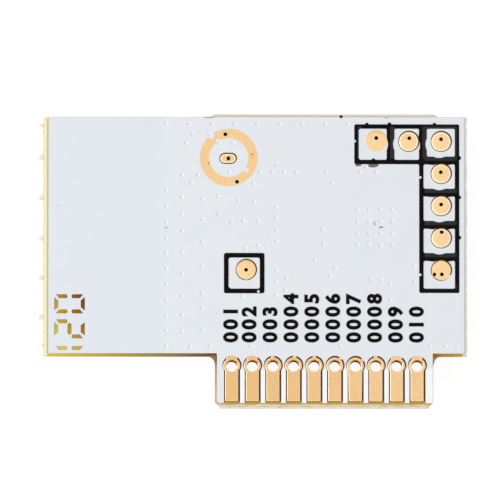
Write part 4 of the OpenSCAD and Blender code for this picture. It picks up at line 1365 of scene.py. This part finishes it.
class MODULE_OT_antenna(Operator):
    """Finishes the antenna under the mask"""
    bl_idname = "module.antenna"
    bl_label = "Antenna"

    def execute(self, context):
        paint("antenna_trace", plain_metal("antenna_copper", colours().copper, 0.4))
        return {"FINISHED"}


class MODULE_OT_solder(Operator):
    """Rounds the soldered lands, fills the corners at the parts' ends, and finishes leads and plated ends"""
    bl_idname = "module.solder"
    bl_label = "Solder and leads"

    def execute(self, context):
        tint = colours().solder
        lands = node_copy("soldered_lands", "soldered_lands_filled")
        round_edges(lands, LAND_ROUND, corner_at(Z_SEAT))
        solder = []
        for chips in CHIP_ENDS.values():
            size, places = chip_ends_at(chips)
            width = size.y - 2 * END_WALL
            solder.append(fillets(size.x / 2, FILLET_REACH, size.z * FILLET_SHARE, width, places))
        for node, leads in LEADS.items():
            half, places = leads_at(node)
            solder.append(fillets(half, leads.reach, leads.drop, leads.width, places))
        join([*solder, lands])
        seat(lands, [plain_metal("solder", tint, 0.3, 5.0, depth=0.012)], ["soldered_lands"])
        ends = plain_metal("tinned_ends", tint, 0.38, 9.0, depth=0.008)
        for node, chips in CHIP_ENDS.items():
            dip_ends(node, chips, ends)
        paint("inductor_plates", ends)
        tinned = plain_metal("tinned_leads", tint, 0.32, 14.0, stretch=(0.3, 1, 1))
        paint("soc_leads", tinned)
        formed = node_copy("flash_leads", "flash_leads_formed")
        round_edges(formed, LEAD_ROUND, is_corner)
        seat(formed, [tinned], ["flash_leads"])
        return {"FINISHED"}


def turned(degrees_round):
    return Matrix.Rotation(math.radians(degrees_round), 4, "Z")


def on_lands(middle):
    """A frame at the height of the lands over the middle of a part."""
    return Matrix.Translation((middle.x, middle.y, Z_SEAT))


def chip_ends_at(nodes):
    """Outer size of one kind of chip part, and a frame for every end: x outwards, z up to its land."""
    places = []
    for node in nodes:
        middle, half = middle_half(node)
        size = 2 * (half + Vector((END_WALL,) * 3))
        first = 90 if size.y > size.x else 0
        places += [on_lands(middle) @ turned(first), on_lands(middle) @ turned(first + 180)]
    return Vector((max(size.x, size.y), min(size.x, size.y), size.z)), places


def leads_at(node):
    """Half the span over a chip's leads, and a frame for every lead: x outwards, z up to its land."""
    leads = LEADS[node]
    middle, half = middle_half(node)
    rows = [Matrix.Translation((0, (i - (leads.count - 1) / 2) * leads.pitch, 0)) for i in range(leads.count)]
    return half.x, [on_lands(middle) @ turned(side) @ row for side in leads.sides for row in rows]


def fillets(end, reach, drop, width, places):
    """Hollow-faced wedges of solder from a part's end out along +x, under the lands."""
    sunk, steps = 0.02, 6
    outline = [(end - sunk, drop), (end - sunk, 0)]
    for i in range(steps + 1):
        turn = math.pi / 2 * i / steps
        outline.append((end + reach * (1 - math.sin(turn)), drop * (1 - math.cos(turn))))
    wedge = prism("fillet", outline, -width / 2, width / 2)
    sideways = Matrix.Rotation(-math.pi / 2, 4, "X")
    return copies(wedge, [place @ sideways for place in places])


def dip_ends(node, chips, finish):
    """Gives one kind of chip part rounded plated ends."""
    size, places = chip_ends_at(chips)
    reach = size.x * END_SHARE
    cap = start(bpy.ops.mesh.primitive_cube_add, "cap", size=1, scale=(reach, size.y, size.z),
                location=((size.x - reach) / 2, 0, -size.z / 2))
    round_edges(cap, sizes().end_round / MM, is_corner, segments=3)
    ends = copies(cap, places)
    ends.name = node + "_dipped"
    seat(ends, [finish], [node])


class MODULE_OT_chips(Operator):
    """Rounds the system chip and the flash chip, and marks the first lead of each"""
    bl_idname = "module.chips"
    bl_label = "Chips"

    def execute(self, context):
        moulding = plain_solid("chip_moulding", colours().moulding, 0.55, 18.0)
        size = sizes()
        inset = size.mark_inset / MM
        for node in ("soc_body", "flash_body"):
            low, high = box_mm(node)
            body = node_copy(node, node + "_moulded")
            round_edges(body, size.body_round / MM, corner_at(low.z))
            cut(body, start(bpy.ops.mesh.primitive_cylinder_add, "mark", vertices=40, depth=MARK_DEPTH,
                            radius=size.mark_width / MM / 2, location=(low.x + inset, high.y - inset, low.z)))
            seat(body, [moulding], [node])
        return {"FINISHED"}


class MODULE_OT_crystal(Operator):
    """Presses a border in the crystal's lid, and finishes the crystal"""
    bl_idname = "module.crystal"
    bl_label = "Crystal"

    def execute(self, context):
        tints = colours()
        paint("crystal_base", plain_solid("crystal_ceramic", tints.crystal_base, 0.5))
        low, high = box_mm("crystal_lid")
        lid = node_copy("crystal_lid", "crystal_lid_pressed")
        with editing(lid):
            select_only(lid, "FACE", lambda face: face.normal.z < -0.9)
            bpy.ops.mesh.inset(thickness=LID_BORDER)
            bpy.ops.mesh.select_all(action="DESELECT")
        for vert in lid.data.vertices:
            inwards = min(*(vert.co - low).xy, *(high - vert.co).xy)
            if vert.co.z < low.z + SLACK and inwards < LID_BORDER - SLACK:
                vert.co.z += LID_STEP
        round_edges(lid, sizes().body_round / MM, lambda edge: is_corner(edge, math.radians(15)), segments=3)
        finish = plain_metal("crystal_metal", tints.crystal_lid, 0.3, 6.0, stretch=(0.2, 4, 1))
        seat(lid, [finish], ["crystal_lid"])
        return {"FINISHED"}


class MODULE_OT_inductor(Operator):
    """Rounds the inductor's core and winds its coil"""
    bl_idname = "module.inductor"
    bl_label = "Inductor"

    def execute(self, context):
        middle = middle_mm("inductor_core")
        flange = sizes().post_width / MM

        def on_flange(edge):
            return is_corner(edge) and all((vert.co - middle).xy.length > flange for vert in edge.verts)
        core = node_copy("inductor_core", "inductor_core_fired")
        round_edges(core, sizes().body_round / MM, on_flange, segments=3)
        seat(core, [plain_solid("ferrite", colours().ferrite, 0.6, 10.0)], ["inductor_core"])
        winding = plain_metal("winding", colours().winding, 0.28, 6.0, stretch=(1, 1, 4))
        seat(wound_coil("inductor_coil"), [winding], ["inductor_coil"])
        return {"FINISHED"}


def wound_coil(node):
    """Turns of wire round the post: bulging strands, spun about its axis."""
    low, high = box_mm(node)
    middle = (low + high) / 2
    turns, post = sizes().wire_turns, sizes().post_width / MM / 2
    half = (high.z - low.z) / turns / 2
    centre = (high.x - low.x) / 2 - half
    steps = 6
    profile = [(post, high.z), (post, low.z)]
    for i in range(turns * steps + 1):
        strand = min(i // steps, turns - 1)
        turn = math.pi * (i / steps - strand) - math.pi / 2
        profile.append((centre + half * math.cos(turn), low.z + half * (2 * strand + 1 + math.sin(turn))))
    coil = start(bpy.ops.mesh.primitive_circle_add, node + "_wound", vertices=len(profile), radius=1,
                 fill_type="NOTHING")
    for vert, (out, z) in zip(coil.data.vertices, profile):
        vert.co = (middle.x + out, middle.y, z)
    with editing(coil, outwards=True):
        bpy.ops.mesh.spin(steps=64, angle=2 * math.pi, center=(middle.x, middle.y, 0), axis=(0, 0, 1))
        bpy.ops.mesh.select_all(action="SELECT")
        bpy.ops.mesh.remove_doubles(threshold=MERGE)
    return coil


class MODULE_OT_chip_parts(Operator):
    """Rounds and finishes the capacitors and resistors"""
    bl_idname = "module.chip_parts"
    bl_label = "Capacitors and resistors"

    def execute(self, context):
        tints = colours()
        ceramic = plain_solid("capacitor_ceramic", tints.capacitor, 0.45, 8.0)
        resistor = [plain_solid("alumina", tints.alumina, 0.6, 8.0, spread=0.1),
                    plain_solid("resistor_overcoat", tints.resistor, 0.35, 8.0)]
        for node in BULK_CAPACITORS + SMALL_CAPACITORS:
            seat(rounded_body(node), [ceramic], [node])
        for node in RESISTORS:
            body = rounded_body(node)
            paint_faces(body, lambda centre, normal: 1 if normal.z < -0.5 else 0)
            seat(body, resistor, [node])
        return {"FINISHED"}


def rounded_body(node):
    """A chip part's body with its edges rounded."""
    body = node_copy(node, node + "_body")
    round_edges(body, sizes().body_round / MM / 2, is_corner)
    return body


def set_world(strength):
    """Even light from all round, which shows as white."""
    world = bpy.data.worlds.new("studio")
    bpy.context.scene.world = world
    world.use_nodes = True
    world.node_tree.nodes.clear()
    nodes = Nodes(world.node_tree)
    lit, seen = (nodes.shader("ShaderNodeBackground", Color=(1, 1, 1, 1), Strength=power)
                 for power in (strength, 1))
    nodes.end("ShaderNodeOutputWorld", lit, seen)


def floor_finish():
    """Pale floor that shows as white with the object's shadow on it."""
    material = bpy.data.materials.new("floor")
    material.use_nodes = True
    material.node_tree.nodes.clear()
    nodes = Nodes(material.node_tree)
    plain, shaded = (nodes.shader("ShaderNodeBsdfDiffuse", Color=(*tint, 1))
                     for tint in (colours().floor, (FLOOR_SHADE,) * 3))
    glow = nodes.shader("ShaderNodeEmission", Strength=FLOOR_GLOW)
    both = nodes.node("ShaderNodeAddShader", {}, {0: shaded, 1: glow})
    nodes.end("ShaderNodeOutputMaterial", plain, both.outputs[0])
    return material


class MODULE_OT_stage(Operator):
    """Sets the floor, the light and the camera"""
    bl_idname = "module.stage"
    bl_label = "Stage"

    def execute(self, context):
        stage = context.scene.module_stage
        floor = start(bpy.ops.mesh.primitive_plane_add, "floor", size=FLOOR_SIZE,
                      location=(0, 0, CAD_BOX[0][2]))
        floor.data.materials.append(floor_finish())
        set_world(stage.world)
        aim = Vector((stage.aim_x, stage.aim_y, Z_MASK * MM))
        self.add_key(context, aim, stage.key)
        self.add_camera(context, aim, stage)
        context.scene.view_settings.view_transform = "Standard"
        return {"FINISHED"}

    def add_key(self, context, aim, power):
        light = bpy.data.lights.new("key", "AREA")
        light.shape = "SQUARE"
        light.size = KEY_SIZE
        light.energy = power
        lamp = bpy.data.objects.new("key", light)
        lamp.location = aim + KEY_PLACE
        lamp.rotation_euler = (aim - lamp.location).to_track_quat("-Z", "Y").to_euler()
        context.scene.collection.objects.link(lamp)

    def add_camera(self, context, aim, stage):
        lens = bpy.data.cameras.new("camera")
        lens.sensor_width = SENSOR_MM
        lens.lens = lens.sensor_width * stage.distance / stage.field
        lens.clip_start, lens.clip_end = CLIP
        camera = bpy.data.objects.new("camera", lens)
        back = Vector((-math.tan(stage.tilt_left), -math.tan(stage.tilt_low), 1)).normalized()
        right = Vector((0, 1, 0)).cross(back).normalized()
        level_view = Matrix((right, back.cross(right), back)).transposed()
        view = level_view @ Matrix.Rotation(stage.roll, 3, "Z")
        camera.matrix_world = Matrix.Translation(aim + back * stage.distance) @ view.to_4x4()
        context.scene.collection.objects.link(camera)
        context.scene.camera = camera


PIECES = (MODULE_OT_laminate, MODULE_OT_masks, MODULE_OT_contacts, MODULE_OT_pads, MODULE_OT_prints,
          MODULE_OT_antenna, MODULE_OT_solder, MODULE_OT_chips, MODULE_OT_crystal, MODULE_OT_inductor,
          MODULE_OT_chip_parts, MODULE_OT_stage)
GROUPS = {"module_sizes": ModuleSizes, "module_colours": ModuleColours, "module_stage": ModuleStage}


class MODULE_PT_sidebar(Panel):
    """Lists the pieces of the module"""
    bl_label = "Radio audio module"
    bl_idname = "MODULE_PT_sidebar"
    bl_space_type = "VIEW_3D"
    bl_region_type = "UI"
    bl_category = "Module"

    def draw(self, context):
        for piece in PIECES:
            self.layout.operator(piece.bl_idname)
        for name, group in GROUPS.items():
            for key in group.__annotations__:
                self.layout.prop(getattr(context.scene, name), key)


def register():
    for group in (*GROUPS.values(), *PIECES, MODULE_PT_sidebar):
        bpy.utils.register_class(group)
    for name, group in GROUPS.items():
        setattr(bpy.types.Scene, name, PointerProperty(type=group))


def unregister():
    for name in GROUPS:
        delattr(bpy.types.Scene, name)
    for group in (MODULE_PT_sidebar, *reversed(PIECES), *GROUPS.values()):
        bpy.utils.unregister_class(group)


def main():
    register()
    for piece in PIECES:
        name = piece.bl_idname.split(".")[1]
        if getattr(bpy.ops.module, name)() != {"FINISHED"}:
            raise RuntimeError(f"{name} did not finish")


if __name__ == "__main__":
    main()
